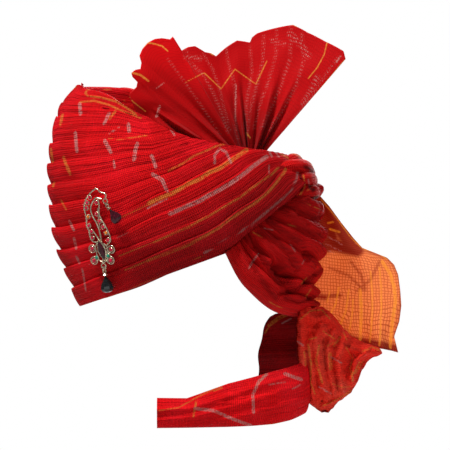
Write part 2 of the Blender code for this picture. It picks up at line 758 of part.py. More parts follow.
def ring_mesh(name, radius, wire, sides, wire_sides):
    """Closed ring in its own XY plane."""
    shape = bmesh.new()
    circle = bmesh.ops.create_circle(shape, segments=wire_sides, radius=wire)
    turn_up = Matrix.Rotation(pi / 2, 3, "X")
    bmesh.ops.rotate(shape, matrix=turn_up, verts=circle["verts"])
    bmesh.ops.translate(shape, vec=(radius, 0, 0), verts=circle["verts"])
    bmesh.ops.spin(shape, geom=shape.verts[:] + shape.edges[:], axis=(0, 0, 1), cent=(0, 0, 0),
                   angle=2 * pi, steps=sides, use_merge=True)
    bmesh.ops.remove_doubles(shape, verts=shape.verts, dist=0.00001)
    bmesh.ops.recalc_face_normals(shape, faces=shape.faces)
    mesh = bpy.data.meshes.new(name)
    shape.to_mesh(mesh)
    shape.free()
    return mesh


def disc_mesh(name, radius, thickness, sides, long=0.0):
    """Closed seat with its back on the XY plane, drawn out to a marquise when long is given."""
    shape = bmesh.new()
    bmesh.ops.create_cone(shape, cap_ends=True, segments=sides, radius1=radius, radius2=radius,
                          depth=thickness)
    bmesh.ops.translate(shape, vec=(0, 0, thickness / 2), verts=shape.verts)
    if long:
        draw_out(shape, radius, long)
    mesh = bpy.data.meshes.new(name)
    shape.to_mesh(mesh)
    shape.free()
    return mesh


def draw_out(shape, radius, long):
    """Turn a round outline into a marquise of a half length, pointed along Y."""
    for vert in shape.verts:
        share = max(-1.0, min(1.0, vert.co.y / radius))
        side = sqrt(max(0.0, 1 - share * share))
        lean = 1 - abs(share) ** 1.6
        if side > 1e-6:
            vert.co.x *= lean / side
        vert.co.y = share * long


def wire_mesh(name, spots, out):
    """Round wire along a smooth route in the pin's plane."""
    curve = bpy.data.curves.new(name, "CURVE")
    curve.dimensions = "3D"
    curve.bevel_depth = WIRE
    curve.bevel_resolution = 1
    curve.use_fill_caps = True
    points = [pin_place(spot, out) for spot in spots]
    length = sum((b - a).length for a, b in zip(points, points[1:]))
    count = max(4, round(length / (4.4 * MM)))
    line = curve.splines.new("POLY")
    line.points.add(count)
    for k in range(count + 1):
        line.points[k].co = (*spline(points, k / count), 1)
    guide = bpy.data.objects.new(name, curve)
    cutters.objects.link(guide)
    seen = guide.evaluated_get(bpy.context.evaluated_depsgraph_get())
    mesh = bpy.data.meshes.new_from_object(seen)
    bpy.data.objects.remove(guide)
    shape = bmesh.new()
    shape.from_mesh(mesh)
    bmesh.ops.remove_doubles(shape, verts=shape.verts, dist=0.00001)
    bmesh.ops.recalc_face_normals(shape, faces=shape.faces)
    shape.to_mesh(mesh)
    shape.free()
    return mesh


def add_guide(name, mesh, parent, place=None):
    """Piece of metal that is soldered into the frame."""
    made = bpy.data.objects.new(name, mesh)
    cutters.objects.link(made)
    made.parent = parent
    made.matrix_local = place or Matrix.Identity(4)
    made.hide_render = True
    made.display_type = "WIRE"
    return made


def stone(name, radius, height, sides, finish, parent, place, long=0.0):
    """Cut stone with a table, crown facets and a flat back."""
    shape = bmesh.new()
    bmesh.ops.create_cone(shape, cap_ends=True, segments=sides, radius1=radius,
                          radius2=0.6 * radius, depth=height)
    bmesh.ops.translate(shape, vec=(0, 0, height / 2), verts=shape.verts)
    if long:
        for vert in shape.verts:
            vert.co.y *= long / radius
    made = finish_mesh(name, shape, finish, parent)
    made.matrix_local = place
    return made


def drop(name, length, width, depth, finish, parent, place):
    """Faceted teardrop, pointed at its top, hanging along -Y."""
    profile = ((0.05, 0.08), (0.34, 0.26), (0.72, 0.47), (0.95, 0.64), (1.00, 0.78), (0.76, 0.93),
               (0.28, 1.00))
    shape = bmesh.new()
    rings = []
    for reach, fall in profile:
        ring = bmesh.ops.create_circle(shape, segments=8, radius=0.5 * width * reach)["verts"]
        bmesh.ops.rotate(shape, matrix=Matrix.Rotation(pi / 2, 3, "X"), verts=ring)
        bmesh.ops.translate(shape, vec=(0, -length * fall, 0), verts=ring)
        rings.append(ring)
    for upper, lower in zip(rings, rings[1:]):
        for k in range(8):
            n = (k + 1) % 8
            shape.faces.new((upper[k], upper[n], lower[n], lower[k]))
    shape.faces.new(rings[0])
    shape.faces.new(rings[-1])
    bmesh.ops.scale(shape, vec=(1, 1, depth / width), verts=shape.verts)
    made = finish_mesh(name, shape, finish, parent)
    made.matrix_local = place
    return made


def drop_cap(name, width, finish, parent, place):
    """Small bell cap with the eye that the link goes through, soldered together."""
    bell = bmesh.new()
    bmesh.ops.create_cone(bell, cap_ends=True, segments=10, radius1=0.22 * width,
                          radius2=0.08 * width, depth=2.2 * MM)
    bmesh.ops.rotate(bell, matrix=Matrix.Rotation(-pi / 2, 3, "X"), verts=bell.verts)
    bmesh.ops.translate(bell, vec=(0, -RING_WIRE - 1.1 * MM - 1.2 * MM, 0), verts=bell.verts)
    made = finish_mesh(name, bell, finish, parent)
    made.matrix_local = place
    eye = ring_mesh(name + "_eye", 1.6 * MM, 0.5 * MM, 10, 5)
    guide = add_guide(name + "_eye", eye, parent, place)
    join = made.modifiers.new("solder", "BOOLEAN")
    join.operation = "UNION"
    join.solver = "EXACT"
    join.object = guide
    return made


def build_pin(parent):
    gilt = material("oxidised_gilt", (0.55, 0.42, 0.25), 0.35, 1.0)
    ruby = material("ruby_glass", (0.45, 0.01, 0.06), 0.08)
    orange = material("orange_glass", (0.60, 0.12, 0.02), 0.08)
    green = material("green_glass", (0.01, 0.20, 0.12), 0.08)
    garnet = material("garnet_glass", (0.10, 0.005, 0.01), 0.06)
    black = material("black_glass", (0.01, 0.01, 0.012), 0.05)
    seat_at = pin_frame()
    pagri.objects.link(seat_at)
    seat_at.parent = parent

    solder = bpy.data.collections.new("solder")
    cutters.children.link(solder)
    small = LEAF_STONES + COLUMN_STONES + GREEN_STONES
    parts = []
    for k, spot in enumerate(small):
        place = Matrix.Translation(pin_place(spot)) @ Matrix.Rotation(radians(9 * k), 4, "Z")
        seat = disc_mesh("seat", SEAT, SEAT_THICK, 10)
        parts.append(add_guide(f"seat_{k + 1}", seat, seat_at, place))
    for k, spot in enumerate(LOOPS):
        place = Matrix.Translation(pin_place(spot)) @ Matrix.Rotation(radians(7 * k + 4), 4, "Z")
        loop = disc_mesh("loop", LOOP, 0.8 * SEAT_THICK, 10)
        parts.append(add_guide(f"loop_{k + 1}", loop, seat_at, place))
    for k, (name, spots) in enumerate(WIRES.items()):
        wire = wire_mesh(name, spots, 0.45 * MM + 0.05 * MM * k)
        parts.append(add_guide("wire_" + name, wire, seat_at))
    for name, spot in (("bottom_ring", BOTTOM_RING), ("side_ring", SIDE_RING)):
        place = Matrix.Translation(pin_place(spot, RING_LEVEL))
        parts.append(add_guide(name, ring_mesh(name, RING, RING_WIRE, 10, 5), seat_at, place))
    stem = bmesh.new()
    bmesh.ops.create_cone(stem, cap_ends=True, segments=6, radius1=0.6 * MM, radius2=0.6 * MM,
                          depth=0.56 * PIN_TALL)
    bmesh.ops.rotate(stem, matrix=Matrix.Rotation(pi / 2 + 0.01, 3, "X"), verts=stem.verts)
    bmesh.ops.translate(stem, vec=(-0.045 * PIN_TALL, -0.02 * PIN_TALL, 0), verts=stem.verts)
    stem_mesh = bpy.data.meshes.new("stem")
    stem.to_mesh(stem_mesh)
    stem.free()
    parts.append(add_guide("stem", stem_mesh, seat_at))
    for part in parts:
        cutters.objects.unlink(part)
        solder.objects.link(part)

    plate = disc_mesh("brooch_frame", MARQUISE_WIDE / 2 + 1.2 * MM, SEAT_THICK, 16,
                      MARQUISE_LONG / 2 + 1.8 * MM)
    frame = add_object("brooch_frame", plate, gilt, seat_at)
    tilt = Matrix.Rotation(MARQUISE_TILT, 4, "Z")
    frame.matrix_local = Matrix.Translation(pin_place(MARQUISE)) @ tilt
    join = frame.modifiers.new("solder", "BOOLEAN")
    join.operation = "UNION"
    join.solver = "EXACT"
    join.operand_type = "COLLECTION"
    join.collection = solder

    top = SEAT_THICK + METAL_GAP
    for k, spot in enumerate(LEAF_STONES + COLUMN_STONES):
        colour = orange if k in (3, 11) else ruby
        place = Matrix.Translation(pin_place(spot, top))
        stone(f"stone_{k + 1}", STONE, 0.9 * MM, 8, colour, seat_at, place)
    for k, spot in enumerate(GREEN_STONES):
        stone(f"green_stone_{k + 1}", STONE, 0.9 * MM, 8, green, seat_at,
              Matrix.Translation(pin_place(spot, top)))
    for k, spot in enumerate(LOOPS):
        place = Matrix.Translation(pin_place(spot, 0.8 * SEAT_THICK + METAL_GAP))
        stone(f"loop_stone_{k + 1}", 1.2 * STONE, 1.0 * MM, 8, ruby, seat_at, place)
    stone("marquise", MARQUISE_WIDE / 2, 1.8 * MM, 12, garnet, seat_at,
          Matrix.Translation(pin_place(MARQUISE, top)) @ tilt, MARQUISE_LONG / 2)

    for name, spot, long, wide, deep, glass, turn, level in (
            ("main", BOTTOM_RING, MAIN_DROP_LONG, MAIN_DROP_WIDE, MAIN_DROP_DEEP, black,
             radians(4), RING_LEVEL),
            ("side", SIDE_RING, SIDE_DROP_LONG, SIDE_DROP_WIDE, SIDE_DROP_DEEP, garnet,
             radians(34), SIDE_LEVEL)):
        hang = Matrix.Rotation(turn, 4, "Z")
        middle = 0.5 * (level - RING_LEVEL)
        link_fall = hang.to_3x3() @ Vector((0, -RING - 0.6 * MM, middle))
        link_at = pin_place(spot, RING_LEVEL) + link_fall
        cap_at = link_at + hang.to_3x3() @ Vector((0, -RING + 0.1 * MM, middle))
        ring = ring_mesh(name + "_link", RING, 0.45 * MM, 12, 6)
        link = add_object(name + "_link", ring, gilt, seat_at)
        link.matrix_local = Matrix.Translation(link_at) @ hang @ Matrix.Rotation(pi / 2, 4, "Y")
        cap_place = Matrix.Translation(cap_at) @ hang
        drop_cap(name + "_cap", wide, gilt, seat_at, cap_place)
        drop_at = cap_place @ Matrix.Translation((0, -4.2 * MM - METAL_GAP + 0.08 * long, 0))
        drop(name + "_drop", long, wide, deep, glass, seat_at, drop_at)


def build_pagri():
    head = bpy.data.objects.new("head_frame", None)
    pagri.objects.link(head)
    head.rotation_euler = (HEAD_BOW, 0, 0)
    crepe = material("red_crepe", (0.55, 0.003, 0.02), 0.55)
    inner = material("red_lining_turns", (0.38, 0.003, 0.015), 0.6)
    roll = material("red_crepe_rolled", (0.42, 0.003, 0.012), 0.55)
    fan = material("red_organza", (0.58, 0.004, 0.02), 0.45)
    sheer = material("gold_red_organza", (0.72, 0.22, 0.06), 0.45)
    build_crown(inner, head)
    build_near_band(crepe, head)
    build_far_band(crepe, head)
    build_knot(roll, head)
    for k in range(len(CREASES) - 2):
        build_roll(f"back_roll_{k + 1}", CREASES[k], CREASES[k + 1], roll, head)
    build_roll("back_loop", CREASES[-2], CREASES[-1], roll, head)
    build_fan("fan_main", FAN_MAIN_RIM, 9, 0, fan)
    build_fan("fan_side", FAN_SIDE_RIM, 5, FAN_LAP, fan)
    build_veil(sheer)
    build_gather(crepe)
    build_wrap(crepe)
    build_collar(inner)
    build_pin(head)
    bpy.context.view_layer.update()


for old in list(bpy.data.objects):
    bpy.data.objects.remove(old, do_unlink=True)
pagri = bpy.data.collections.new("tied_turban_pagri")
cutters = bpy.data.collections.new("cutters")
bpy.context.scene.collection.children.link(pagri)
bpy.context.scene.collection.children.link(cutters)
build_pagri()
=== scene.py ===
from functools import lru_cache
from math import cos, exp, pi, radians, sin, sqrt

import bmesh
import bpy
import numpy as np
from mathutils import Euler, Matrix, Vector, noise


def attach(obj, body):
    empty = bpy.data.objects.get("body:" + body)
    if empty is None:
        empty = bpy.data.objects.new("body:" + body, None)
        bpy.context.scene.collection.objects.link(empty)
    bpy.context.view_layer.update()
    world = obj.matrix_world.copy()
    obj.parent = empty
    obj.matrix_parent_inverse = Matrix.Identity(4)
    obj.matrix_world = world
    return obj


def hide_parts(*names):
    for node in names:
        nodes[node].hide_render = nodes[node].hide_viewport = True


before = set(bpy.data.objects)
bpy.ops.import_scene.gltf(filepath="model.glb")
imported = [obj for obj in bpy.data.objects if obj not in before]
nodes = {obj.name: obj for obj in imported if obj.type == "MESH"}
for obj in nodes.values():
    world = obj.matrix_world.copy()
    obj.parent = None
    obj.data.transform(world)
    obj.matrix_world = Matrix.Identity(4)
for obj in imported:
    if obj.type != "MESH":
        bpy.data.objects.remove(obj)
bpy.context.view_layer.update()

# The turban is looked at from its left. In its photograph one pixel is close to one millimetre;
# x and y are the pixel of the world's origin
photo = {"x": 200, "y": 262, "perMetre": 1000}


def clamp(value, low=0.0, high=1.0):
    return max(low, min(high, value))


def smooth(value):
    value = clamp(value)
    return value * value * (3 - 2 * value)


def read(rows, at, column):
    # value of a column between the rows of a table whose first column rises, on a smooth curve
    keys = [row[0] for row in rows]
    if at <= keys[0]:
        return rows[0][column]
    if at >= keys[-1]:
        return rows[-1][column]
    i = max(k for k in range(len(keys) - 1) if keys[k] <= at)
    span = keys[i + 1] - keys[i]
    t = (at - keys[i]) / span

    def slope(k):
        low, high = max(k - 1, 0), min(k + 1, len(rows) - 1)
        return (rows[high][column] - rows[low][column]) / (keys[high] - keys[low])

    return ((2 * t**3 - 3 * t**2 + 1) * rows[i][column] + (t**3 - 2 * t**2 + t) * span * slope(i)
            + (3 * t**2 - 2 * t**3) * rows[i + 1][column] + (t**3 - t**2) * span * slope(i + 1))


def line(rows, at, column):
    # the same with straight lines between the rows
    return float(np.interp(at, [row[0] for row in rows], [row[column] for row in rows]))


def spline(points, t):
    last = len(points) - 1
    place = min(t * last, last - 1e-9)
    i = int(place)
    u = place - i
    a, b = points[max(i - 1, 0)], points[i]
    c, d = points[i + 1], points[min(i + 2, last)]
    return 0.5 * (2 * b + (c - a) * u + (2 * a - 5 * b + 4 * c - d) * u**2
                  + (3 * b - a - 3 * c + d) * u**3)


def soft(x, y, z=0.0):
    # slow waves of hand-folded cloth, between -1 and 1
    return noise.noise(Vector((x, y, z)))


# Materials

def linear(hexColour):
    # sRGB hex to the linear values that the shader takes
    parts = [int(hexColour[k:k + 2], 16) / 255 for k in (0, 2, 4)]
    return (*[c / 12.92 if c <= 0.04045 else ((c + 0.055) / 1.055) ** 2.4 for c in parts], 1.0)


def addNode(tree, kind, settings, out=0):
    # settings name properties or sockets of the node; a socket among their values is linked
    node = tree.nodes.new("ShaderNode" + kind)
    for key, value in settings.items():
        if isinstance(value, bpy.types.NodeSocket):
            tree.links.new(value, node.inputs[key])
        elif isinstance(key, str) and hasattr(node, key):
            setattr(node, key, value)
        else:
            node.inputs[key].default_value = value
    return node.outputs[out] if node.outputs else node


def emptyTree(owner):
    # the cleared node tree of a material or a world
    owner.use_nodes = True
    owner.node_tree.nodes.clear()
    return owner.node_tree


# Threads, drawn as coarse as they need to show: pitch each way and depth in metres. Fleck, patch,
# waver and broken are cells of noise for each metre, so a fleck of the crepe is about 1 mm
crepeWeave = {
    "pitches": (0.0017, 0.0021), "depth": 0.00045, "waver": 60.0, "shift": 0.004, "fleck": 900.0,
    "patch": 22.0, "broken": 420.0,
    "creases": (9.0, 290.0, 1.0),        # cells along and across the cloth: long fine creases
    "ribShare": 0.62, "threadShare": 0.24, "contrast": 0.42, "slub": 0.35, "middle": 0.54,
    "gloss": 0.72, "markEdge": (-0.0004, 0.0005),
}
organzaNet = {
    "pitches": (0.0029, 0.0031), "depth": 0.0002, "waver": 45.0, "shift": 0.009, "fleck": 700.0,
    "patch": 26.0,
    "threadEdges": (-0.55, -0.45),       # how wide the threads of each way are drawn
    "gloss": 0.55, "markEdge": (-0.0003, 0.0004), "dotEdge": (-0.002, 0.0015),
    "denseEdge": (-0.0022, 0.0020),
}


def threadWaves(tree, flat, place, cloth):
    # a wave for each way of the threads, wavering so that they don't run dead straight
    waver = addNode(tree, "TexNoise", {"Vector": place, "Scale": cloth["waver"], "Detail": 2.0})
    waves = []
    for axis, pitch in zip("XY", cloth["pitches"]):
        along = addNode(tree, "SeparateXYZ", {0: flat}, axis)
        along = addNode(tree, "Math", {"operation": "MULTIPLY_ADD", 0: waver,
                                       1: cloth["shift"], 2: along})
        along = addNode(tree, "Math", {"operation": "MULTIPLY", 0: along, 1: 2 * pi / pitch})
        waves.append(addNode(tree, "Math", {"operation": "SINE", 0: along}))
    return waves


def insideMarks(tree, name, edge):
    # 1 inside the marks and 0 past their edge, from the distance kept on the cloth's points
    distance = addNode(tree, "Attribute", {"attribute_name": name}, "Fac")
    return addNode(tree, "MapRange", {"Value": distance, "From Min": edge[0],
                                      "From Max": edge[1], "To Min": 1.0, "To Max": 0.0})


def layTone(tree, colour, share, strength, tone):
    # a tone laid over the colour where share is 1, as heavy as strength says
    amount = addNode(tree, "Math", {"operation": "MULTIPLY", 0: share, 1: strength})
    return addNode(tree, "Mix", {"data_type": "RGBA", 0: amount, 6: colour, 7: linear(tone)}, 2)


def clothMaterial(name, base, deep, bright, ribs=1.0, creases=0.36, marks=True):
    # crinkled silk crepe: ribs across the cloth, fine creases along it, slubs and faded patches
    made = bpy.data.materials.new(name)
    tree = emptyTree(made)
    flat = addNode(tree, "UVMap", {"uv_map": "cloth"})
    place = addNode(tree, "TexCoord", {}, "Object")
    rib, thread = threadWaves(tree, flat, place, crepeWeave)
    thread = addNode(tree, "Math", {"operation": "MULTIPLY", 0: thread,
                                    1: crepeWeave["threadShare"]})
    grid = addNode(tree, "Math", {"operation": "MULTIPLY_ADD", 0: rib,
                                  1: crepeWeave["ribShare"], 2: thread})
    fleck, patch, broken = (
        addNode(tree, "TexNoise", {"Vector": place, "Scale": crepeWeave[size], "Detail": detail})
        for size, detail in (("fleck", 2.0), ("patch", 4.0), ("broken", 3.0)))
    stretch = addNode(tree, "Mapping", {"Vector": flat, "Scale": crepeWeave["creases"]})
    wander = addNode(tree, "TexNoise", {"Vector": stretch, "Scale": 1.0, "Detail": 4.0})
    streak = addNode(tree, "MapRange", {"Value": wander, "From Min": 0.36, "From Max": 0.60})
    # creases, slubs and threads added up: 0 in their shade and 1 on their crowns
    shade = addNode(tree, "Math", {"operation": "MULTIPLY_ADD", 0: streak, 1: creases,
                                   2: crepeWeave["middle"] - creases})
    shade = addNode(tree, "Math", {"operation": "MULTIPLY_ADD", 0: fleck,
                                   1: crepeWeave["slub"], 2: shade})
    shade = addNode(tree, "Math", {"operation": "MULTIPLY_ADD", "use_clamp": True, 0: grid,
                                   1: crepeWeave["contrast"] * ribs, 2: shade})
    colour = addNode(tree, "Mix", {"data_type": "RGBA", 0: shade, 6: linear(deep),
                                   7: linear(base)}, 2)
    faded = addNode(tree, "MapRange", {"Value": patch, "From Min": 0.45, "From Max": 0.75})
    colour = layTone(tree, colour, faded, 0.55, bright)
    metal = 0.0
    if marks:
        # metallic threads, broken by wear and laid over the ribs like a ladder
        wear = addNode(tree, "MapRange", {"Value": broken, "From Min": 0.30, "From Max": 0.50})
        ladder = addNode(tree, "Math", {"operation": "MULTIPLY_ADD", 0: rib, 1: 0.32, 2: 0.68})
        cover = addNode(tree, "Math", {"operation": "MULTIPLY", 0: wear, 1: ladder})
        shares = []
        for mark, strength, tone in (("gold", 0.78, "dc8c3a"), ("silver", 0.74, "c49a94")):
            inside = insideMarks(tree, mark, crepeWeave["markEdge"])
            shares.append(addNode(tree, "Math", {"operation": "MULTIPLY", 0: inside, 1: cover}))
            colour = layTone(tree, colour, shares[-1], strength, tone)
        both = addNode(tree, "Math", {"operation": "ADD", "use_clamp": True, 0: shares[0],
                                      1: shares[1]})
        metal = addNode(tree, "Math", {"operation": "MULTIPLY", 0: both, 1: 0.35})
    # painted shade: deep in the folds and under the other folds the colour is darkened nearly to
    # black
    hollow = addNode(tree, "Attribute", {"attribute_name": "hollow"}, "Fac")
    colour = layTone(tree, colour, hollow, 0.92, "1c0001")
    height = addNode(tree, "Math", {"operation": "MULTIPLY_ADD", 0: fleck, 1: 1.2, 2: grid})
    height = addNode(tree, "Math", {"operation": "MULTIPLY_ADD", 0: streak, 1: 1.6, 2: height})
    bump = addNode(tree, "Bump", {"Strength": 1.0, "Distance": crepeWeave["depth"],
                                  "Height": height})
    shader = addNode(tree, "BsdfPrincipled", {
        "Base Color": colour, "Metallic": metal, "Roughness": crepeWeave["gloss"],
        "Sheen Weight": 0.05, "Sheen Roughness": 0.45, "Sheen Tint": linear(bright),
        "Specular IOR Level": 0.10, "Normal": bump})
    addNode(tree, "OutputMaterial", {"Surface": shader})
    return made


def sheerMaterial(name, base, thread, cover, see=0.25):
    # thin organza: fine red threads show as a net, light comes through it, and it is doubled
    # where the dense layer lies
    made = bpy.data.materials.new(name)
    made.surface_render_method = "DITHERED"
    tree = emptyTree(made)
    flat = addNode(tree, "UVMap", {"uv_map": "cloth"})
    place = addNode(tree, "TexCoord", {}, "Object")
    waves = threadWaves(tree, flat, place, organzaNet)
    threads = [addNode(tree, "MapRange", {"Value": wave, "From Min": -0.98, "From Max": edge,
                                          "To Min": 1.0, "To Max": 0.0})
               for wave, edge in zip(waves, organzaNet["threadEdges"])]
    lines = addNode(tree, "Math", {"operation": "MAXIMUM", 0: threads[0], 1: threads[1]})
    spots = [addNode(tree, "MapRange", {"Value": wave, "From Min": -0.2, "From Max": 0.5,
                                        "To Min": 1.0, "To Max": 0.0}) for wave in waves]
    dots = addNode(tree, "Math", {"operation": "MULTIPLY", 0: spots[0], 1: spots[1]})
    fine, patch = (
        addNode(tree, "TexNoise", {"Vector": place, "Scale": organzaNet[size], "Detail": detail})
        for size, detail in (("fleck", 2.0), ("patch", 3.0)))
    worn = addNode(tree, "MapRange", {"Value": fine, "From Min": 0.40, "From Max": 0.60})
    colour = layTone(tree, linear(base), lines, 0.58, thread)
    colour = layTone(tree, colour, patch, 0.16, thread)
    dense = insideMarks(tree, "dense", organzaNet["denseEdge"])
    colour = layTone(tree, colour, dense, 0.80, "a80c14")
    # darker where the cloth is drawn together in many layers, and painted shade at the fan's root
    # and over the side layer's lower part
    layersAndShade = addNode(tree, "Attribute", {"attribute_name": "layersAndShade"}, "Fac")
    colour = layTone(tree, colour, layersAndShade, 0.55, "5a0000")
    kept = addNode(tree, "Math", {"operation": "MULTIPLY_ADD", 0: worn, 1: 0.5, 2: 0.5})
    shares = []
    for mark, edge, cut in (("gold", organzaNet["markEdge"], kept),
                            ("silver", organzaNet["markEdge"], worn),
                            ("net", organzaNet["dotEdge"], dots)):
        inside = insideMarks(tree, mark, edge)
        shares.append(addNode(tree, "Math", {"operation": "MULTIPLY", 0: inside, 1: cut}))
    gold, silver, dotted = shares
    silver = addNode(tree, "Math", {"operation": "MULTIPLY_ADD", "use_clamp": True, 0: dotted,
                                    1: worn, 2: silver})
    colour = layTone(tree, colour, gold, 0.72, "ffc450")
    colour = layTone(tree, colour, silver, 0.7, "d8a8a0")
    alpha = addNode(tree, "Math", {"operation": "MULTIPLY_ADD", "use_clamp": True, 0: lines,
                                   1: 1 - cover, 2: cover})
    alpha = addNode(tree, "Math", {"operation": "MAXIMUM", 0: alpha, 1: dense})
    bump = addNode(tree, "Bump", {"Strength": 0.5, "Distance": organzaNet["depth"],
                                  "Height": fine})
    shader = addNode(tree, "BsdfPrincipled", {
        "Base Color": colour, "Alpha": alpha, "Roughness": organzaNet["gloss"],
        "Sheen Weight": 0.05, "Specular IOR Level": 0.10, "Normal": bump})
    through = addNode(tree, "BsdfTranslucent", {"Color": colour})
    both = addNode(tree, "MixShader", {0: see, 1: shader, 2: through})
    addNode(tree, "OutputMaterial", {"Surface": both})
    return made


def metalMaterial(name, bright, tarnish):
    # cast gilt gone grey, with worn spots of about 2 mm that are darker and duller
    made = bpy.data.materials.new(name)
    tree = emptyTree(made)
    place = addNode(tree, "TexCoord", {}, "Object")
    spots = addNode(tree, "TexNoise", {"Vector": place, "Scale": 420.0, "Detail": 4.0})
    worn = addNode(tree, "MapRange", {"Value": spots, "From Min": 0.42, "From Max": 0.62})
    colour = layTone(tree, linear(bright), worn, 0.5, tarnish)
    rough = addNode(tree, "Math", {"operation": "MULTIPLY_ADD", 0: worn, 1: 0.25, 2: 0.18})
    shader = addNode(tree, "BsdfPrincipled", {"Metallic": 1.0, "Base Color": colour,
                                              "Roughness": rough})
    addNode(tree, "OutputMaterial", {"Surface": shader})
    return made


def glassMaterial(name, deep, bright):
    # foiled glass stone: painted flashes, cells of brighter colour about 2 mm each that stand in
    # for light glinting off the foil behind its facets, under a clear hard surface
    made = bpy.data.materials.new(name)
    tree = emptyTree(made)
    place = addNode(tree, "TexCoord", {}, "Object")
    cells = addNode(tree, "TexVoronoi", {"Vector": place, "Scale": 520.0})
    paintedFlash = addNode(tree, "Math", {"operation": "POWER", "use_clamp": True, 0: cells, 1: 1.5})
    colour = addNode(tree, "Mix", {"data_type": "RGBA", 0: paintedFlash, 6: linear(deep),
                                   7: linear(bright)}, 2)
    shader = addNode(tree, "BsdfPrincipled", {
        "Base Color": colour, "Roughness": 0.12, "Specular IOR Level": 0.35,
        "Coat Weight": 0.25, "Coat Roughness": 0.03})
    addNode(tree, "OutputMaterial", {"Surface": shader})
    return made


# The winding. The same sizes as the solids, in metres

winding = {
    "frontReach": 0.131, "sideReach": 0.106, "backReach": 0.142, "crest": 0.207,
    "pleatDepth": 0.0045, "crestThick": 0.010, "lipDrop": 0.004, "lipRise": 0.0028, "end": 163.0,
    "crossLow": 8.0, "crossHigh": 28.0, "crossWrap": 36.0,
    "headWide": 0.078, "headLong": 0.098, "headDeep": 0.125, "crownWall": 0.002,
    "bow": radians(20),
    "overlap": 0.006,        # how far each fold reaches behind the one below it
    "underSink": 0.0045, "underSlope": 0.004,    # how the far band dives under the near one
    "tuck": 0.004, "tuckShare": 0.03,            # how the near band's first end is tucked in
    "waver": 0.0011, "crinkle": 0.0006, "ripple": 0.0012, "dent": 0.0013, "turnUp": 0.004,
    # height share; reach to the front, the side and the back
    "form": [
        (-0.05, 0.990, 0.910, 0.930), (0.00, 0.995, 0.930, 0.945), (0.15, 1.000, 0.990, 1.000),
        (0.30, 1.000, 1.000, 0.915), (0.45, 0.965, 0.975, 0.770), (0.58, 0.905, 0.915, 0.660),
        (0.68, 0.850, 0.840, 0.580), (0.78, 0.775, 0.750, 0.500), (0.87, 0.690, 0.640, 0.440),
        (0.95, 0.585, 0.510, 0.370), (1.00, 0.440, 0.390, 0.300),
    ],
    # turn from the front; lower edge, upper edge of the near band and of the far band
    "edges": [
        (0, -0.007, 1.000, 1.000), (30, -0.008, 0.990, 0.990), (52, -0.010, 0.952, 0.975),
        (71, 0.000, 0.889, 0.947), (88, 0.010, 0.745, 0.900), (103, 0.010, 0.620, 0.780),
        (114, 0.050, 0.545, 0.620), (128, 0.100, 0.473, 0.500), (140, 0.134, 0.420, 0.430),
        (152, 0.176, 0.370, 0.370), (163, 0.200, 0.335, 0.335),
    ],
    # foot of each pleat at the front as a share of the width, and its depth
    "pleats": [
        (0.000, 0.6), (0.094, 0.8), (0.199, 0.8), (0.295, 1.0), (0.405, 1.0), (0.511, 1.0),
        (0.602, 1.0), (0.698, 1.0), (0.784, 0.8), (0.894, 0.6), (0.950, 0.5),
    ],
    # four of those lines further round, where the photograph shows them, in pixels; then their
    # shares at the knot: 1 is the crest, and past it they go over the crest and down inside
    "guides": [
        (0.094, 0.20, (120, 269), (140, 261), (160, 253), (180, 245), (200, 236), (220, 224),
         (240, 210), (260, 196), (272, 184), (282, 173)),
        (0.199, 0.56, (120, 252), (140, 245), (160, 237), (180, 229), (200, 219), (220, 208),
         (240, 195), (260, 180), (273, 169)),
        (0.295, 0.98, (120, 235), (140, 226), (160, 216), (180, 207), (200, 198), (220, 187),
         (240, 174), (255, 163)),
        (0.405, 1.18, (120, 215), (140, 206), (160, 196), (180, 187), (200, 177), (220, 166),
         (234, 157)),
    ],
    # the last line, by turn: it stays on the crest, then goes over it
    "crestLine": [(0, 1.0), (70, 1.0), (88, 1.05), (103, 1.2), (114, 1.36), (128, 1.56),
                  (140, 1.70), (163, 1.85)],
}
rollEnd = 1.12          # end of the crest's roll, on the scale of bandPlace
insideEnd = 2.0


def pixelPoint(x, y):
    # the Y and Z of a pixel in the middle plane, in metres
    return (x - photo["x"]) / photo["perMetre"], (photo["y"] - y) / photo["perMetre"]


def pixelOf(point):
    return photo["x"] + point.y * photo["perMetre"], photo["y"] - point.z * photo["perMetre"]


def toWorld(point):
    # from the winding, which is upright, to the turban as it bows forward
    return Euler((winding["bow"], 0, 0)).to_matrix() @ point


def wrapPoint(turn, up, stand=0.0):
    # the outside of the winding at a turn from the front and a height, or so far off it
    share = up / winding["crest"]
    side = winding["sideReach"] * read(winding["form"], share, 2)
    front = winding["frontReach"] * read(winding["form"], share, 1)
    back = winding["backReach"] * read(winding["form"], share, 3)
    along = front if cos(radians(turn)) > 0 else back
    across, ahead = sin(radians(turn)), cos(radians(turn))
    out = Vector((across / side, -ahead / along, 0)).normalized()
    return Vector((side * across, -along * ahead, up)) + out * stand


def corePoint(turn, up, clear=0.0016):
    # the outside of the crown's first turns, and below them the tuck in towards the nape
    wide, long, deep = (winding[key] + winding["crownWall"] + clear
                        for key in ("headWide", "headLong", "headDeep"))
    if up > 0:
        ring = sqrt(max(0.0, 1 - (up / deep) ** 2))
        wide, long = wide * ring, long * ring
    else:
        fall = min(1.0, -up / rolls["drop"])
        wide -= rolls["earTuck"] * fall
        long -= rolls["napeTuck"] * fall if cos(radians(turn)) < 0 else 0
    return Vector((wide * sin(radians(turn)), -long * cos(radians(turn)), up))


def crossTurn(share):
    # the turn at which each pleat of the near band starts, past the middle of the front
    return -winding["crossLow"] - (winding["crossHigh"] - winding["crossLow"]) * min(1.0, share)


@lru_cache(maxsize=None)
def bandEdges(turn, side):
    turn = abs(turn)
    lower = winding["crest"] * read(winding["edges"], turn, 1)
    upper = winding["crest"] * read(winding["edges"], turn, side)
    return lower, upper


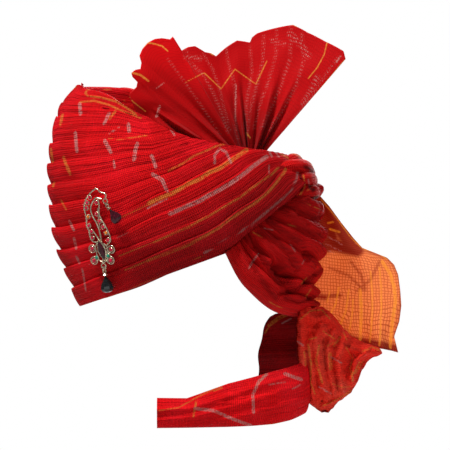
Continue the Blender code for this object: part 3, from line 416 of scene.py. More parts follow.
def bandPlace(turn, q, stand, side, sink=0.0):
    # point of a band: q is 0 at its lower edge, 1 at the crest and 2 at the foot of its inside
    lower, upper = bandEdges(turn, side)
    if q <= 1:
        return wrapPoint(turn, lower + (upper - lower) * q, stand - sink)
    thick = winding["pleatDepth"] + winding["crestThick"]
    crest = wrapPoint(turn, upper, -sink)
    inner = wrapPoint(turn, upper - winding["lipDrop"], -thick)
    if q < rollEnd:
        arc = pi * (q - 1) / (rollEnd - 1)
        middle = crest.lerp(inner, 0.5)
        rise = Vector((0, 0, sin(arc)))
        point = middle + (crest - middle) * cos(arc) + rise * winding["lipRise"]
        out = (crest - inner).normalized()
        return point + (out * cos(arc) + rise) * stand
    leave = 0.78 * min(upper, winding["headDeep"])
    share = (q - rollEnd) / (insideEnd - rollEnd)
    foot = corePoint(turn, leave)
    point = inner.lerp(foot, share)
    out = wrapPoint(turn, upper, 1.0) - wrapPoint(turn, upper, 0.0)
    return point - out * stand


def findGuides():
    # turn and share of the width for each pixel of the guides, from the nearest point of the band
    turns, shares = np.arange(20, winding["end"], 0.75), np.arange(0, 1.0, 0.0125)
    seen = []
    for turn in turns:
        for share in shares:
            point = toWorld(bandPlace(turn, share, -0.001, 2))
            seen.append(pixelOf(point))
    seen = np.array(seen)
    lines = []
    for start, end, *spots in winding["guides"]:
        rows = [(0.0, start)]
        for spot in spots:
            nearest = int(np.argmin(np.linalg.norm(seen - np.array(spot), axis=1)))
            rows.append((turns[nearest // len(shares)], shares[nearest % len(shares)]))
        rows.append((winding["end"], end))
        lines.append(sorted(rows))
    return lines


@lru_cache(maxsize=None)
def pleatLine(turn, share):
    # where a line that is at this share at the front lies at this turn
    turn = abs(turn)
    guides = [0.0] + [row[0] for row in winding["guides"]] + [1.0]
    places = [0.0] + [read(rows, turn, 1) for rows in guideLines]
    return float(np.interp(share, guides, places + [line(winding["crestLine"], turn, 1)]))


guideLines = findGuides()

# Steps of a pleat from the hidden foot, up its face, over its fold and down behind: share of its
# width, extra height in overlaps, and stand in pleat depths
pleatSteps = [
    (0.00, -1.0, -1.05), (0.00, -0.3, -0.98), (0.05, 0.0, -0.90), (0.14, 0.0, -0.76),
    (0.28, 0.0, -0.52), (0.44, 0.0, -0.30), (0.60, 0.0, -0.13), (0.76, 0.0, -0.03),
    (0.90, 0.0, 0.00), (0.98, 0.0, -0.05), (1.00, 0.10, -0.18), (1.00, 0.06, -0.36),
    (1.00, -0.3, -0.52), (1.00, -0.95, -0.70),
]
innerSteps = 20
footSteps = 5


def bandPath():
    # every step across the cloth: kind, pleat, share, extra and stand
    path = [("foot", 0, k / footSteps, 0, 0) for k in range(footSteps)]
    for k in range(len(winding["pleats"])):
        steps = pleatSteps if k else pleatSteps[2:]
        if k == len(winding["pleats"]) - 1:
            steps = steps[:-4]
        path += [("pleat", k, *step) for step in steps]
    path += [("inside", 0, (k + 1) / innerSteps, 0, 0) for k in range(innerSteps)]
    return path


def buildBand(name, side, hand, along, finish):
    # side is the column of its upper edge, and hand is 1 for the near band and -1 for the far
    path = bandPath()
    lines = [row[0] for row in winding["pleats"]] + [1.0]
    last, wrap = winding["end"], winding["crossWrap"]
    seed = 3.1 if hand > 0 else 11.7

    def place(u, v):
        kind, k, share, extra, stand = path[round(v * (len(path) - 1))]
        guess = lines[k] if kind == "pleat" else (0.0 if kind == "foot" else 1.0)
        if hand > 0:
            first = crossTurn(guess)
        else:
            first = -crossTurn(guess) - wrap
        turn = first + (last - first) * u
        sink = 0.0
        if hand < 0:
            past = -turn - crossTurn(guess)
            sink = (winding["underSink"] * smooth((past + 9) / 9)
                    + winding["underSlope"] * clamp(past / wrap))
        elif u < winding["tuckShare"]:
            sink = winding["tuck"] * (1 - u / winding["tuckShare"]) ** 2
        lower, upper = bandEdges(turn, side)
        width = upper - lower
        if kind == "foot":
            rim = corePoint(turn, lower, 0.001)
            edge = bandPlace(turn, 0.0, -0.9 * 0.6 * winding["pleatDepth"], side, sink)
            point = rim.lerp(edge, share)
            point.z += winding["turnUp"] * sin(pi * share)
        elif kind == "pleat":
            low, high = pleatLine(turn, lines[k]), pleatLine(turn, lines[k + 1])
            tall = (high - low) * width
            flatten = 1 - (0.45 + 0.03 * min(k, 8)) * smooth((abs(turn) - 34) / 40)
            depth = flatten * min(winding["pleatDepth"] * winding["pleats"][k][1],
                                  0.30 * tall + 0.0004)
            lap = min(winding["overlap"], 0.4 * tall)
            waver = winding["waver"] * soft(turn * 0.055, k * 7.3 + seed) * min(1.0, tall / 0.012)
            if k == 0 and share < 0.1:
                waver = 0
            q = low + (high - low) * share + (extra * lap + waver) / width
            crinkle = winding["crinkle"] * soft(turn * 0.12, k * 3.1 + share * 1.4, seed)
            out = stand * depth + crinkle * min(1.0, tall / 0.01)
            point = bandPlace(turn, max(0.0, q), out, side, sink)
        else:
            low = pleatLine(turn, 1.0)
            q = low + (insideEnd - low) * share
            ripple = winding["ripple"] * sin(9 * pi * share) * sin(pi * share)
            point = bandPlace(turn, q, ripple, side, sink)
        dent = winding["dent"] * soft(point.x * 16 + seed, point.y * 16, point.z * 20)
        point += Vector((point.x, point.y, 0)).normalized() * dent
        point.x *= hand
        return toWorld(point)

    lengths = [0.0]
    steps = len(path) - 1
    for k in range(steps):
        gap = place(0.3, (k + 1) / steps) - place(0.3, k / steps)
        lengths.append(lengths[-1] + gap.length)
    flat = (0.34, lengths)
    made = clothGrid(name, along, steps, place, flat, finish, hand < 0)
    print(name, "folded out across", round(lengths[-1], 3))
    return made


def addGrid(shape, across, along, place, flat):
    # flat piece of cloth whose points are moved to their places, with its UV map in metres;
    # flat is its size, or a list of lengths for the second way when its steps are uneven
    uvMap = shape.loops.layers.uv.get("cloth") or shape.loops.layers.uv.new("cloth")
    steps = flat[1]
    if not isinstance(steps, list):
        steps = [steps * k / along for k in range(along + 1)]
    made = bmesh.ops.create_grid(shape, x_segments=across, y_segments=along, size=0.5)["verts"]
    for face in {face for vert in made for face in vert.link_faces}:
        for loop in face.loops:
            u, v = loop.vert.co.x + 0.5, loop.vert.co.y + 0.5
            loop[uvMap].uv = (u * flat[0], steps[round(v * along)])
    for vert in made:
        vert.co = place(vert.co.x + 0.5, vert.co.y + 0.5)
    return made


def clothGrid(name, across, along, place, flat, finish, flip=False, wall=0.0006):
    shape = bmesh.new()
    addGrid(shape, across, along, place, flat)
    if flip:
        bmesh.ops.reverse_faces(shape, faces=shape.faces)
    return finishCloth(name, shape, finish, wall)


def addTube(shape, around, along, place, flat=(0.1, 0.1)):
    # closed form lofted along its way: place takes the share along and the share round it
    made = addGrid(shape, along, around, place, flat)
    bmesh.ops.remove_doubles(shape, verts=made, dist=0.000002)
    made = [vert for vert in made if vert.is_valid]
    ends = {edge for vert in made for edge in vert.link_edges if edge.is_boundary}
    bmesh.ops.holes_fill(shape, edges=list(ends), sides=0)


def paddedTube(name, around, along, place, flat, finish):
    shape = bmesh.new()
    addTube(shape, around, along, place, flat)
    bmesh.ops.recalc_face_normals(shape, faces=shape.faces)
    return finishCloth(name, shape, finish)


def finishCloth(name, shape, finish, wall=0.0):
    mesh = bpy.data.meshes.new(name)
    shape.to_mesh(mesh)
    shape.free()
    mesh.shade_smooth()
    mesh.materials.append(finish)
    made = bpy.data.objects.new(name, mesh)
    bpy.context.scene.collection.objects.link(made)
    if wall:
        cloth = made.modifiers.new("cloth", "SOLIDIFY")
        cloth.thickness = wall
        cloth.offset = -1
    return made


def pointsOf(made):
    points = np.zeros(len(made.data.vertices) * 3)
    made.data.vertices.foreach_get("co", points)
    return points.reshape(-1, 3)


def toPixels(made):
    # where each point of a piece is in the photograph
    points = pointsOf(made) * photo["perMetre"]
    return np.stack((photo["x"] + points[:, 1], photo["y"] - points[:, 2]), axis=1)


def strokeDistance(spots, strokes):
    # distance in pixels from each spot to the nearest stroke, less half the stroke's width
    nearest = np.full(len(spots), 50.0)
    for wide, *route in strokes:
        for (ax, ay), (bx, by) in zip(route, route[1:]):
            start, way = np.array((ax, ay), float), np.array((bx - ax, by - ay), float)
            t = np.clip(((spots - start) @ way) / (way @ way), 0, 1)
            off = np.linalg.norm(spots - start - t[:, None] * way, axis=1) - wide / 2
            nearest = np.minimum(nearest, off)
    return nearest


def keepOnPoints(made, name, values):
    layer = made.data.attributes.new(name, "FLOAT", "POINT")
    layer.data.foreach_set("value", np.asarray(values, float))


def markCloth(made, gold, silver, net=(), dense=()):
    # keeps on each point how far it is from the marks of each sort, in metres
    spots = toPixels(made)
    for name, strokes in (("gold", gold), ("silver", silver), ("net", net), ("dense", dense)):
        keepOnPoints(made, name, strokeDistance(spots, strokes) / photo["perMetre"])


def keepPaintedShade(made, strokes, edge, share=1.0):
    # painted shade of folds on the near side: 1 inside each stroke, fading out over its edge in
    # pixels
    dark = np.clip(1 - strokeDistance(toPixels(made), strokes) / edge, 0, 1) * share
    keepOnPoints(made, "hollow", np.where(pointsOf(made)[:, 0] > 0, dark, 0))


# Woven marks: each is a width and a route in pixels of the photograph
bandMarks = {
    "gold": [
        (3, (64, 116), (62, 126)), (3, (52, 150), (54, 162)), (3, (66, 158), (73, 175)),
        (2.4, (55, 187), (56, 183)), (1.6, (63, 200), (70, 211)),
        (2.2, (118, 114), (112, 122)),
        (1.8, (82, 104), (96, 103), (110, 107), (126, 114), (143, 121)), (1.6, (66, 94), (77, 87)),
        (1.8, (110, 87), (90, 91), (87, 95), (90, 98), (104, 100), (117, 104)),
        (1.8, (130, 95), (124, 98), (118, 104), (128, 110), (138, 117)),
        (1.2, (150, 138), (122, 142), (112, 141)),
    ],
    "silver": [
        (3.4, (82, 106), (83, 116)), (3.2, (78, 134), (80, 153)), (3, (107, 126), (112, 116)),
        (3.4, (131, 127), (132, 134)), (3.6, (108, 143), (114, 154)),
        (3.4, (140, 146), (138, 153), (137, 162)),
        (3.2, (154, 158), (156, 163), (158, 169)), (3.6, (155, 176), (165, 182)),
        (3.2, (165, 183), (169, 192)),
        (2.0, (117, 162), (118, 170)), (2.4, (72, 221), (77, 230)), (2.6, (77, 238), (79, 248)),
        (2.4, (79, 256), (82, 262)), (1.8, (85, 268), (88, 290)), (1.6, (112, 136), (122, 130)),
        (2.4, (215, 165), (215, 157), (220, 151), (226, 154), (231, 165)),
        (1.6, (172, 132), (176, 138)), (2, (268, 152), (271, 158)),
    ],
    # painted shade on the lowest folds, which the others hang over
    "shade": [(20, (150, 268), (190, 250), (225, 236), (255, 214), (280, 195))],
    "shadeEdge": 42, "shadeShare": 0.52,
}
# Stripes along the pleats
bandStripes = {
    "gold": [
        (1.6, (120, 219), (140, 210), (152, 204)),
        (4.0, (152, 204), (160, 200), (175, 194), (190, 185), (200, 181), (210, 174),
         (220, 170), (230, 163), (240, 156), (246, 152)),
        (1.0, (122, 255), (140, 248), (156, 242)),
        (2.1, (156, 242), (175, 233), (190, 227), (200, 221), (210, 216),
         (220, 210), (230, 204), (240, 198), (250, 190), (260, 183), (270, 176), (277, 169)),
        (1.4, (128, 269), (142, 263), (150, 260)),
        (3.0, (150, 260), (160, 256), (175, 250), (190, 244), (200, 239), (210, 233),
         (220, 227), (230, 219), (240, 213), (250, 207), (260, 199), (270, 190), (280, 178),
         (286, 168)),
        (1.7, (170, 173), (185, 165), (195, 158), (205, 154), (215, 149), (225, 146)),
        (1.6, (280, 155), (286, 158), (294, 164)),
        (1.0, (84, 305), (130, 289), (170, 270), (210, 252)),
    ],
    "silver": [
        (1.2, (120, 238), (140, 229), (160, 219), (172, 214)),
        (4.0, (172, 214), (190, 206), (200, 202), (210, 196),
         (220, 191), (230, 185), (240, 178), (250, 170), (260, 162), (266, 158)),
        (2.6, (205, 252), (220, 243), (230, 237), (240, 231), (250, 226), (260, 217), (270, 208),
         (280, 200), (290, 190), (295, 180), (297, 170), (294, 164)),
        (1.4, (150, 209), (170, 199)), (1.5, (278, 158), (274, 152)), (1.2, (268, 166), (268, 175)),
    ],
}

# Rolls round the back

rolls = {
    "drop": 0.091, "napeTuck": 0.040, "earTuck": 0.020,
    # below the rim: share of the drop; reach to the side and the back
    "nape": [(0.00, 0.930, 0.945), (0.33, 0.900, 0.880), (0.66, 0.820, 0.755),
             (1.00, 0.740, 0.670)],
    # creases: turn from the back where each leaves the band, turn and drop at a third and at two
    # thirds of its way, and its drop at the back
    "creases": [
        (76.0, 69.0, 0.42, 45.0, 0.80, 0.93), (68.0, 62.0, 0.27, 41.0, 0.62, 0.83),
        (63.0, 57.5, 0.19, 40.0, 0.49, 0.68), (57.0, 50.0, 0.02, 30.0, 0.27, 0.46),
        (51.0, 45.0, -0.09, 25.0, 0.16, 0.30), (42.0, 36.0, -0.18, 20.0, -0.02, 0.055),
        (29.0, 25.0, -0.31, 13.0, -0.22, -0.187), (25.0, 20.0, -0.39, 11.0, -0.41, -0.430),
    ],
    # hollows pressed into them, in pixels: depth in millimetres, half width, way
    "hollows": [
        (9, 2.6, (246, 236), (257, 247), (266, 262), (279, 279), (291, 285)),
        (5, 2.0, (259, 231), (275, 240), (290, 254), (297, 268)),
        (5, 2.2, (267, 220), (283, 232), (300, 242), (308, 258)),
        (14, 4.8, (277, 264), (288, 277)),
        (6, 2.4, (279, 291), (294, 290), (306, 281), (320, 270)),
        (5, 2.0, (299, 213), (314, 219), (325, 216)), (4, 1.8, (292, 224), (308, 232), (322, 236)),
        (3, 1.6, (252, 262), (262, 280), (275, 297)), (3, 1.6, (284, 296), (300, 300), (314, 297)),
    ],
    # painted shade: a roll's colour is darkened round its hollows
    "pressEdge": 2.6, "pressShare": 0.45,      # how far round its hollows a roll is darkened
    "innerReach": 0.66,                        # how full a roll is where it leaves the band
    "crease": 0.0021, "lump": 0.0022,
}
rollMarks = {
    "gold": [(1.2, (252, 232), (261, 237)), (1.2, (300, 283), (306, 277)),
             (1.0, (268, 300), (285, 309)), (1.4, (305, 296), (310, 288)),
             (1.0, (305, 204), (318, 209)), (1.0, (284, 224), (300, 228))],
    "silver": [(1.7, (248, 267), (253, 259), (259, 251)), (1.4, (288, 242), (294, 251)),
               (1.0, (262, 228), (272, 230)), (1.2, (300, 264), (304, 258))],
}


def rollSkin(turn, up):
    if up >= 0:
        return wrapPoint(180 - turn, up)
    drop = -up / rolls["drop"]
    side = winding["sideReach"] * read(rolls["nape"], drop, 1)
    back = winding["backReach"] * read(rolls["nape"], drop, 2)
    return Vector((side * sin(radians(turn)), back * cos(radians(turn)), up))


def creaseAt(crease, t):
    start, turnA, dropA, turnB, dropB, back = crease
    lower = winding["crest"] * read(winding["edges"], 180 - start, 1)
    points = [
        Vector((start, lower / rolls["drop"], 0)), Vector((turnA, -dropA, 0)),
        Vector((turnB, -dropB, 0)), Vector((0, -back, 0)), Vector((-turnB, -dropB, 0)),
    ]
    place = spline(points, 0.75 * t)
    return place.x, place.y * rolls["drop"]


def buildRoll(name, k, finish, across=34, along=150):
    below, above = rolls["creases"][k], rolls["creases"][k + 1]
    seed = 5.3 * k

    def place(u, v):
        step = 2 * u - 1
        hand = -1 if step > 0 else 1
        t = 0.985 * (1 - abs(step)) + 0.015            # small at its ends, 1 at the back
        lowTurn, lowUp = creaseAt(below, t)
        highTurn, highUp = creaseAt(above, t)
        angle = 2 * pi * v
        lean = 0.5 - 0.5 * cos(angle)                  # 0 at the lower crease, 1 at the upper
        front = sin(angle) > 0
        turn = lowTurn + (highTurn - lowTurn) * lean
        up = lowUp + (highUp - lowUp) * lean
        core = corePoint(180 - turn, up, 0.001)
        skin = rollSkin(turn, up)
        least = rolls["innerReach"]
        swell = least + (1 - least) * sin(0.5 * pi * min(1.0, 2.5 * t))
        if front:
            lobe = 0.40 + 0.60 * abs(sin(angle)) ** 0.85
        else:
            lobe = 0.42 - 0.40 * abs(sin(angle)) ** 0.8
        point = core.lerp(skin, lobe * swell)
        # creases of the twist run slantwise round each roll
        if front:
            slant = sin(2 * pi * (2.1 * lean + 3.4 * t + 0.17 * k)
                        + 2.2 * soft(t * 3, lean * 2, seed))
            crease = -rolls["crease"] * max(0.0, slant) ** 6 * sin(pi * lean)
            out = (skin - core).normalized()
            if hand > 0:
                crease -= ridge(*pixelOf(toWorld(point)), rolls["hollows"])
            point += out * (crease + rolls["lump"] * soft(t * 5 + seed, lean * 2, seed))
        point.x *= hand
        return toWorld(point)

    return paddedTube(name, across, along, place, (0.30, 0.075), finish)


# Knot: the ends of the two bands twisted round each other at the back. Each roll of it is a width
# and a way in the world's frame, from the near side to the far side

knot = {
    "rolls": [
        (0.0100, (0.054, 0.074, 0.088), (0.046, 0.090, 0.093), (0.026, 0.102, 0.092),
         (-0.004, 0.105, 0.088), (-0.030, 0.098, 0.088), (-0.052, 0.078, 0.084)),
        (0.0088, (0.054, 0.080, 0.070), (0.046, 0.096, 0.080), (0.028, 0.106, 0.083),
         (0.000, 0.109, 0.079), (-0.026, 0.104, 0.078), (-0.050, 0.084, 0.072)),
        (0.0086, (0.052, 0.078, 0.058), (0.046, 0.096, 0.066), (0.030, 0.109, 0.071),
         (0.004, 0.112, 0.070), (-0.022, 0.108, 0.068), (-0.050, 0.084, 0.060)),
        (0.0080, (0.044, 0.082, 0.096), (0.026, 0.092, 0.101), (0.004, 0.096, 0.098),
         (-0.020, 0.092, 0.097), (-0.044, 0.080, 0.092)),
    ],
    # hollowEdge and hollowShare: painted shade in the knot's hollows, how far it fades out in
    # pixels and how dark
    "wrinkle": 0.24, "lump": 0.06, "ends": 0.25, "hollowEdge": 2.0, "hollowShare": 0.9,
}
knotMarks = {
    "gold": [(1.1, (288, 153), (300, 157), (309, 162), (314, 169)),
             (1.6, (302, 176), (304, 186), (299, 195), (291, 200)), (1.2, (306, 191), (312, 186)),
             (1.1, (299, 203), (312, 207), (322, 206)), (1.0, (311, 199), (318, 196))],
    "silver": [(1.2, (307, 180), (309, 190)), (1.0, (316, 176), (317, 186))],
    # strokes of painted shade in the knot's hollows
    "hollows": [(2.4, (309, 188), (312, 190)), (1.4, (299, 176), (300, 190)),
                (1.2, (304, 168), (313, 172)), (1.6, (303, 203), (314, 198), (322, 197)),
                (1.6, (290, 205), (299, 209))],
}


def tubeAlong(points, radiusAt):
    # place function of a tube along a smooth way; radiusAt takes the share along and the angle
    ways = [Vector(p) for p in points]

    def place(u, v):
        here = spline(ways, u)
        ahead = (spline(ways, min(1, u + 0.01)) - spline(ways, max(0, u - 0.01))).normalized()
        side = ahead.cross(Vector((0, 0, 1))).normalized()
        up = side.cross(ahead)
        angle = 2 * pi * v
        size = radiusAt(u, angle)
        return here + side * (size * cos(angle)) + up * (size * sin(angle))

    return place


def buildKnot(finish):
    shape = bmesh.new()
    for k, (radius, *way) in enumerate(knot["rolls"]):
        seed = 7.7 * k

        def radiusAt(u, angle):
            # narrow at its ends, with wrinkles that run slantwise
            size = radius * (knot["ends"] + (1 - knot["ends"]) * sin(pi * clamp(u)) ** 0.4)
            slant = sin(2 * angle + 13 * u + 2.5 * soft(4 * u, 2 * cos(angle), seed))
            return size * (1 - knot["wrinkle"] * max(0.0, slant) ** 3
                           + knot["lump"] * soft(6 * u + seed, sin(angle)))

        addTube(shape, 32, 90, tubeAlong(way, radiusAt), (0.12, 0.06))
    bmesh.ops.recalc_face_normals(shape, faces=shape.faces)
    return finishCloth("backKnot", shape, finish)


# Fan on the crown

fan = {
    "heart": (0.050, 0.092), "reach": 0.157, "root": 0.014, "cup": 0.022, "lap": 0.010,
    "clear": 0.0025, "wall": 0.0004,
    "foldHeight": 0.0052, "foldAt": 0.22,       # height of its folds and where they are highest
    "sway": 0.012, "crimp": 0.0022,
    # where it is drawn together, in pixels, how far that darkens it (its layers, and painted shade
    # at the root), and where the side layer's lower part starts, which gets painted shade for the
    # shade it lies in
    "gatherAt": (245, 158), "gatherReach": 68, "shadeTop": 66, "shadeDepth": 50,
    # rims in pixels, from the back towards the front
    "mainRim": [
        (345, 60), (343, 52), (325, 42), (308, 33), (293, 25), (275, 28), (257, 33), (252, 37),
        (250, 42), (237, 40), (226, 47), (216, 56), (211, 53), (205, 52), (195, 46), (188, 47),
        (181, 51), (176, 60), (172, 70),
    ],
    "sideRim": [
        (181, 50), (173, 37), (170, 40), (162, 39), (155, 40), (148, 44), (143, 50), (140, 57),
        (142, 64), (141, 70), (136, 71), (132, 74), (133, 78), (138, 83), (137, 88), (130, 95),
        (134, 106), (145, 127), (150, 139),
    ],
}
fanMarks = {
    "gold": [
        (0.8, (186, 83), (204, 73), (221, 89), (235, 69), (256, 84), (267, 61)),
        (1.3, (143, 49), (148, 44), (155, 45), (162, 47), (168, 52)),
        (1.8, (133, 74), (141, 76), (149, 82)), (0.9, (327, 42), (324, 55), (317, 68), (308, 79)),
        (1.4, (296, 119), (287, 129), (278, 139)), (1.0, (209, 52), (213, 55)),
        (0.9, (344, 61), (300, 113), (275, 145)),
        (1.0, (292, 25), (297, 27)), (0.9, (146, 112), (130, 100)), (1.0, (246, 132), (250, 138)),
    ],
    "silver": [
        (2.6, (160, 107), (157, 117)), (1.2, (236, 84), (235, 121)), (1.2, (157, 89), (164, 84)),
        (1.6, (340, 57), (336, 63)), (1.0, (292, 123), (283, 133)),
    ],
    # figures of small silver dots, most of them in rows that run up from the root
    "net": [
        (2.4, (184, 46), (190, 62), (204, 76), (214, 95), (221, 112), (228, 132)),
        (2.0, (203, 54), (213, 70), (219, 88), (224, 108), (230, 130)),
        (2.0, (226, 46), (228, 62), (233, 78), (236, 98), (235, 120), (238, 138)),
        (2.0, (250, 46), (252, 70), (247, 100), (244, 128)),
        (2.2, (264, 36), (263, 60), (257, 85), (250, 110), (247, 134)),
        (2.2, (277, 30), (276, 55), (269, 80), (260, 105), (254, 128)),
        (2.4, (291, 28), (290, 58), (282, 84), (272, 106), (262, 128)),
        (2.4, (302, 34), (304, 60), (296, 86), (284, 108), (270, 130)),
        (6, (290, 34), (302, 46), (308, 56)), (4, (272, 40), (284, 44)),
        (5, (317, 78), (310, 92), (303, 104)), (1.8, (338, 58), (322, 80), (306, 104), (286, 130)),
        (5, (186, 58), (200, 58)), (1.6, (168, 60), (186, 84), (204, 110), (220, 134)),
    ],
}


def fanRoot(direction, start):
    # distance from the start at which a sheet leaves the crown
    half = Vector((winding["headWide"], winding["headLong"], winding["headDeep"]))
    half += Vector((fan["clear"],) * 3)
    back = Euler((-winding["bow"], 0, 0)).to_matrix()
    p, d = back @ start, back @ direction
    p = Vector([p[i] / half[i] for i in range(3)])
    d = Vector([d[i] / half[i] for i in range(3)])
    inside = p.dot(d) ** 2 - d.dot(d) * (p.dot(p) - 1)
    if inside <= 0:
        return fan["root"]
    return max(fan["root"], (sqrt(inside) - p.dot(d)) / d.dot(d))


def buildFan(name, rim, folds, lift, finish, seed):
    # a sheet from the fan's heart to its rim, lift to the near side, with so many folds
    heart = fan["heart"]
    spokes = np.array([pixelPoint(x, y) for x, y in rim]) - np.array(heart)
    angles = np.degrees(np.arctan2(spokes[:, 1], spokes[:, 0]))
    reaches = np.linalg.norm(spokes, axis=1)
    roots = {}

    def place(u, v):
        angle = angles[0] + (angles[-1] - angles[0]) * u
        direction = Vector((0, cos(radians(angle)), sin(radians(angle))))
        start = Vector((lift, *heart))
        if u not in roots:
            roots[u] = fanRoot(direction, start)
        reach = float(np.interp(angle, angles, reaches))
        along = roots[u] + (reach - roots[u]) * v
        phase = 2 * pi * folds * u + 4.2 * soft(4 * u + seed, 0.5 * v) + 0.5 * v
        wave = sin(phase) + 0.4 * sin(1.7 * phase + seed)
        wave *= 0.25 + 1.5 * abs(soft(5 * u, seed))
        near = v / fan["foldAt"]
        depth = fan["foldHeight"] * near * exp(1 - near) * (1 - smooth((v - 0.30) / 0.50))
        sway = fan["sway"] * v * soft(2.3 * u + seed, 1.7 * v, seed)
        crimp = fan["crimp"] * v * soft(8 * u + seed, 4.5 * v, seed)
        cup = fan["cup"] * ((angle - 98) / 60) ** 2 * (along / fan["reach"]) ** 2
        return start + direction * along + Vector((depth * wave + sway + crimp + cup, 0, 0))

    return clothGrid(name, 300, 90, place, (0.30, 0.13), finish, wall=fan["wall"])


# Tail: sheer veil behind the rolls, crumpled gather, folded wrap and the collar under the rolls

veil = {
    "away": 0.022, "lean": 0.010, "belly": 0.007, "wall": 0.0004,
    "fold": 0.0016, "pinch": 0.003, "pinchAt": (0.62, 0.66), "hem": 0.004, "sag": 2.0,
    # rows from the top: y of the left end and its x, then x and y of the right end, in pixels
    "rows": [
        (0.00, 298, 174, 308, 176), (0.10, 304, 184, 315, 189), (0.22, 313, 196, 330, 206),
        (0.34, 318, 214, 343, 224), (0.45, 318, 230, 354, 238), (0.52, 318, 242, 363, 248),
        (0.58, 316, 252, 388, 258), (0.62, 314, 260, 395, 265), (0.68, 312, 272, 399, 275),
        (0.76, 310, 288, 401, 291), (0.84, 309, 302, 402, 306), (0.90, 312, 314, 400, 322),
        (0.95, 322, 326, 395, 337), (1.00, 334, 338, 399, 353),
    ],
}
veilMarks = {
    "gold": [
        (3.4, (383, 262), (391, 274), (395, 288), (396, 302), (393, 322), (391, 348)),
        (1.7, (380, 268), (382, 290), (382, 308), (380, 346)),
        (1.7, (371, 272), (373, 292), (373, 316), (371, 343)),
        (3.0, (361, 290), (362, 305), (362, 318), (361, 340)),
        (1.4, (354, 300), (353, 316), (350, 334)), (1.6, (350, 290), (347, 311), (341, 327)),
        (1.6, (340, 288), (337, 304), (331, 316)), (1.2, (331, 292), (328, 303)),
        (1.0, (322, 199), (338, 219), (350, 236), (363, 249), (378, 253), (388, 260)),
        (2.0, (329, 223), (334, 222)), (2.2, (331, 229), (340, 232)),
    ],
    "silver": [(1.4, (328, 236), (334, 240)), (1.6, (336, 240), (343, 245)),
               (1.4, (327, 244), (333, 247)), (1.5, (335, 248), (342, 251)),
               (1.2, (330, 251), (335, 253))],
    # where a second layer lies behind it, and its hems and creases
    "dense": [
        (26, (300, 170), (312, 196), (322, 222), (326, 240)),
        (16, (314, 184), (334, 216), (350, 240)),
        (13, (322, 243), (340, 246), (358, 250)),
        (5, (318, 297), (326, 298)), (2.5, (326, 297), (341, 296)),
        (1.8, (320, 176), (345, 225), (364, 249), (389, 259), (396, 266), (400, 277), (402, 290),
         (402, 306), (400, 322), (395, 337)),
        (9, (332, 324), (343, 338), (356, 342), (376, 345), (398, 350)),
        (0.8, (380, 262), (371, 280), (358, 291)),
        (0.8, (352, 262), (362, 275), (366, 290)), (0.6, (330, 268), (350, 276), (364, 290)),
    ],
}


def buildVeil(finish):
    def place(u, v):
        leftX, leftY = line(veil["rows"], v, 1), line(veil["rows"], v, 2)
        rightX, rightY = line(veil["rows"], v, 3), line(veil["rows"], v, 4)
        x, y = leftX + (rightX - leftX) * u, leftY + (rightY - leftY) * u
        y += veil["sag"] * sin(pi * u) * smooth((v - 0.55) / 0.4) * (1 - v)
        spread = clamp((rightX - leftX) / 90)
        belly = veil["belly"] * (u * u - sin(2 * pi * u) * spread)
        fold = veil["fold"] * sin(9.5 * u + 5 * v + 1.6 * soft(3 * u, 3 * v)) * spread
        pinchU, pinchV = veil["pinchAt"]
        pinch = veil["pinch"] * exp(-((u - pinchU) / 0.07) ** 2 - ((v - pinchV) / 0.07) ** 2)
        hem = veil["hem"] * sin(6 * pi * u) * smooth((v - 0.86) / 0.14)
        away = -veil["away"] - veil["lean"] * smooth((0.5 - v) / 0.5)
        return Vector((away + belly + fold + pinch + hem, *pixelPoint(x, y)))

    return clothGrid("tailVeil", 150, 190, place, (0.088, 0.20), finish, wall=veil["wall"])


gather = {
    "thick": 0.013, "away": 0.038, "lean": 0.042, "leanFrom": 298, "leanOver": 82,
    # hollowEdge and hollowShare: painted shade in the gather's hollows, how far it fades out in
    # pixels and how dark
    "slack": 0.0022, "crumple": 0.0026, "hollowEdge": 2.0, "hollowShare": 0.30,
    # rows from the top: y, left and right in pixels, share of the thickness
    "rows": [
        (306, 299, 322, 0.60), (313, 297, 331, 0.75), (325, 295, 341, 0.85), (334, 295, 349, 0.95),
        (341, 295, 361, 0.95), (348, 296, 380, 0.95), (354, 296, 383, 0.95), (360, 297, 369, 1.0),
        (370, 298, 362, 1.0), (381, 300, 358, 1.0), (392, 301, 351, 0.95), (401, 307, 338, 0.80),
        (411, 321, 328, 0.45),
    ],
    # folds of its near face in pixels: height in millimetres, half width, way
    "folds": [
        (8.75, 4.5, (301, 318), (299, 345), (303, 372), (302, 398)),
        (7.5, 3.2, (311, 336), (308, 346), (312, 374), (312, 402)),
        (10, 4.5, (321, 324), (315, 340), (319, 366), (325, 392)),
        (7.5, 3, (334, 330), (327, 345), (328, 368), (334, 392)),
        (10, 4, (345, 338), (338, 356), (340, 376), (342, 390)),
        (10, 3, (368, 350), (356, 360), (351, 378)),
        (7.5, 3, (380, 350), (366, 353), (350, 347)),
        (8.75, 4, (303, 312), (314, 318), (326, 316), (334, 322)),
        (5, 2.5, (306, 326), (318, 330), (332, 336)),
        (3.75, 2, (322, 404), (336, 400), (352, 391)),
        (5, 2, (343, 340), (352, 352), (362, 372)),
    ],
}
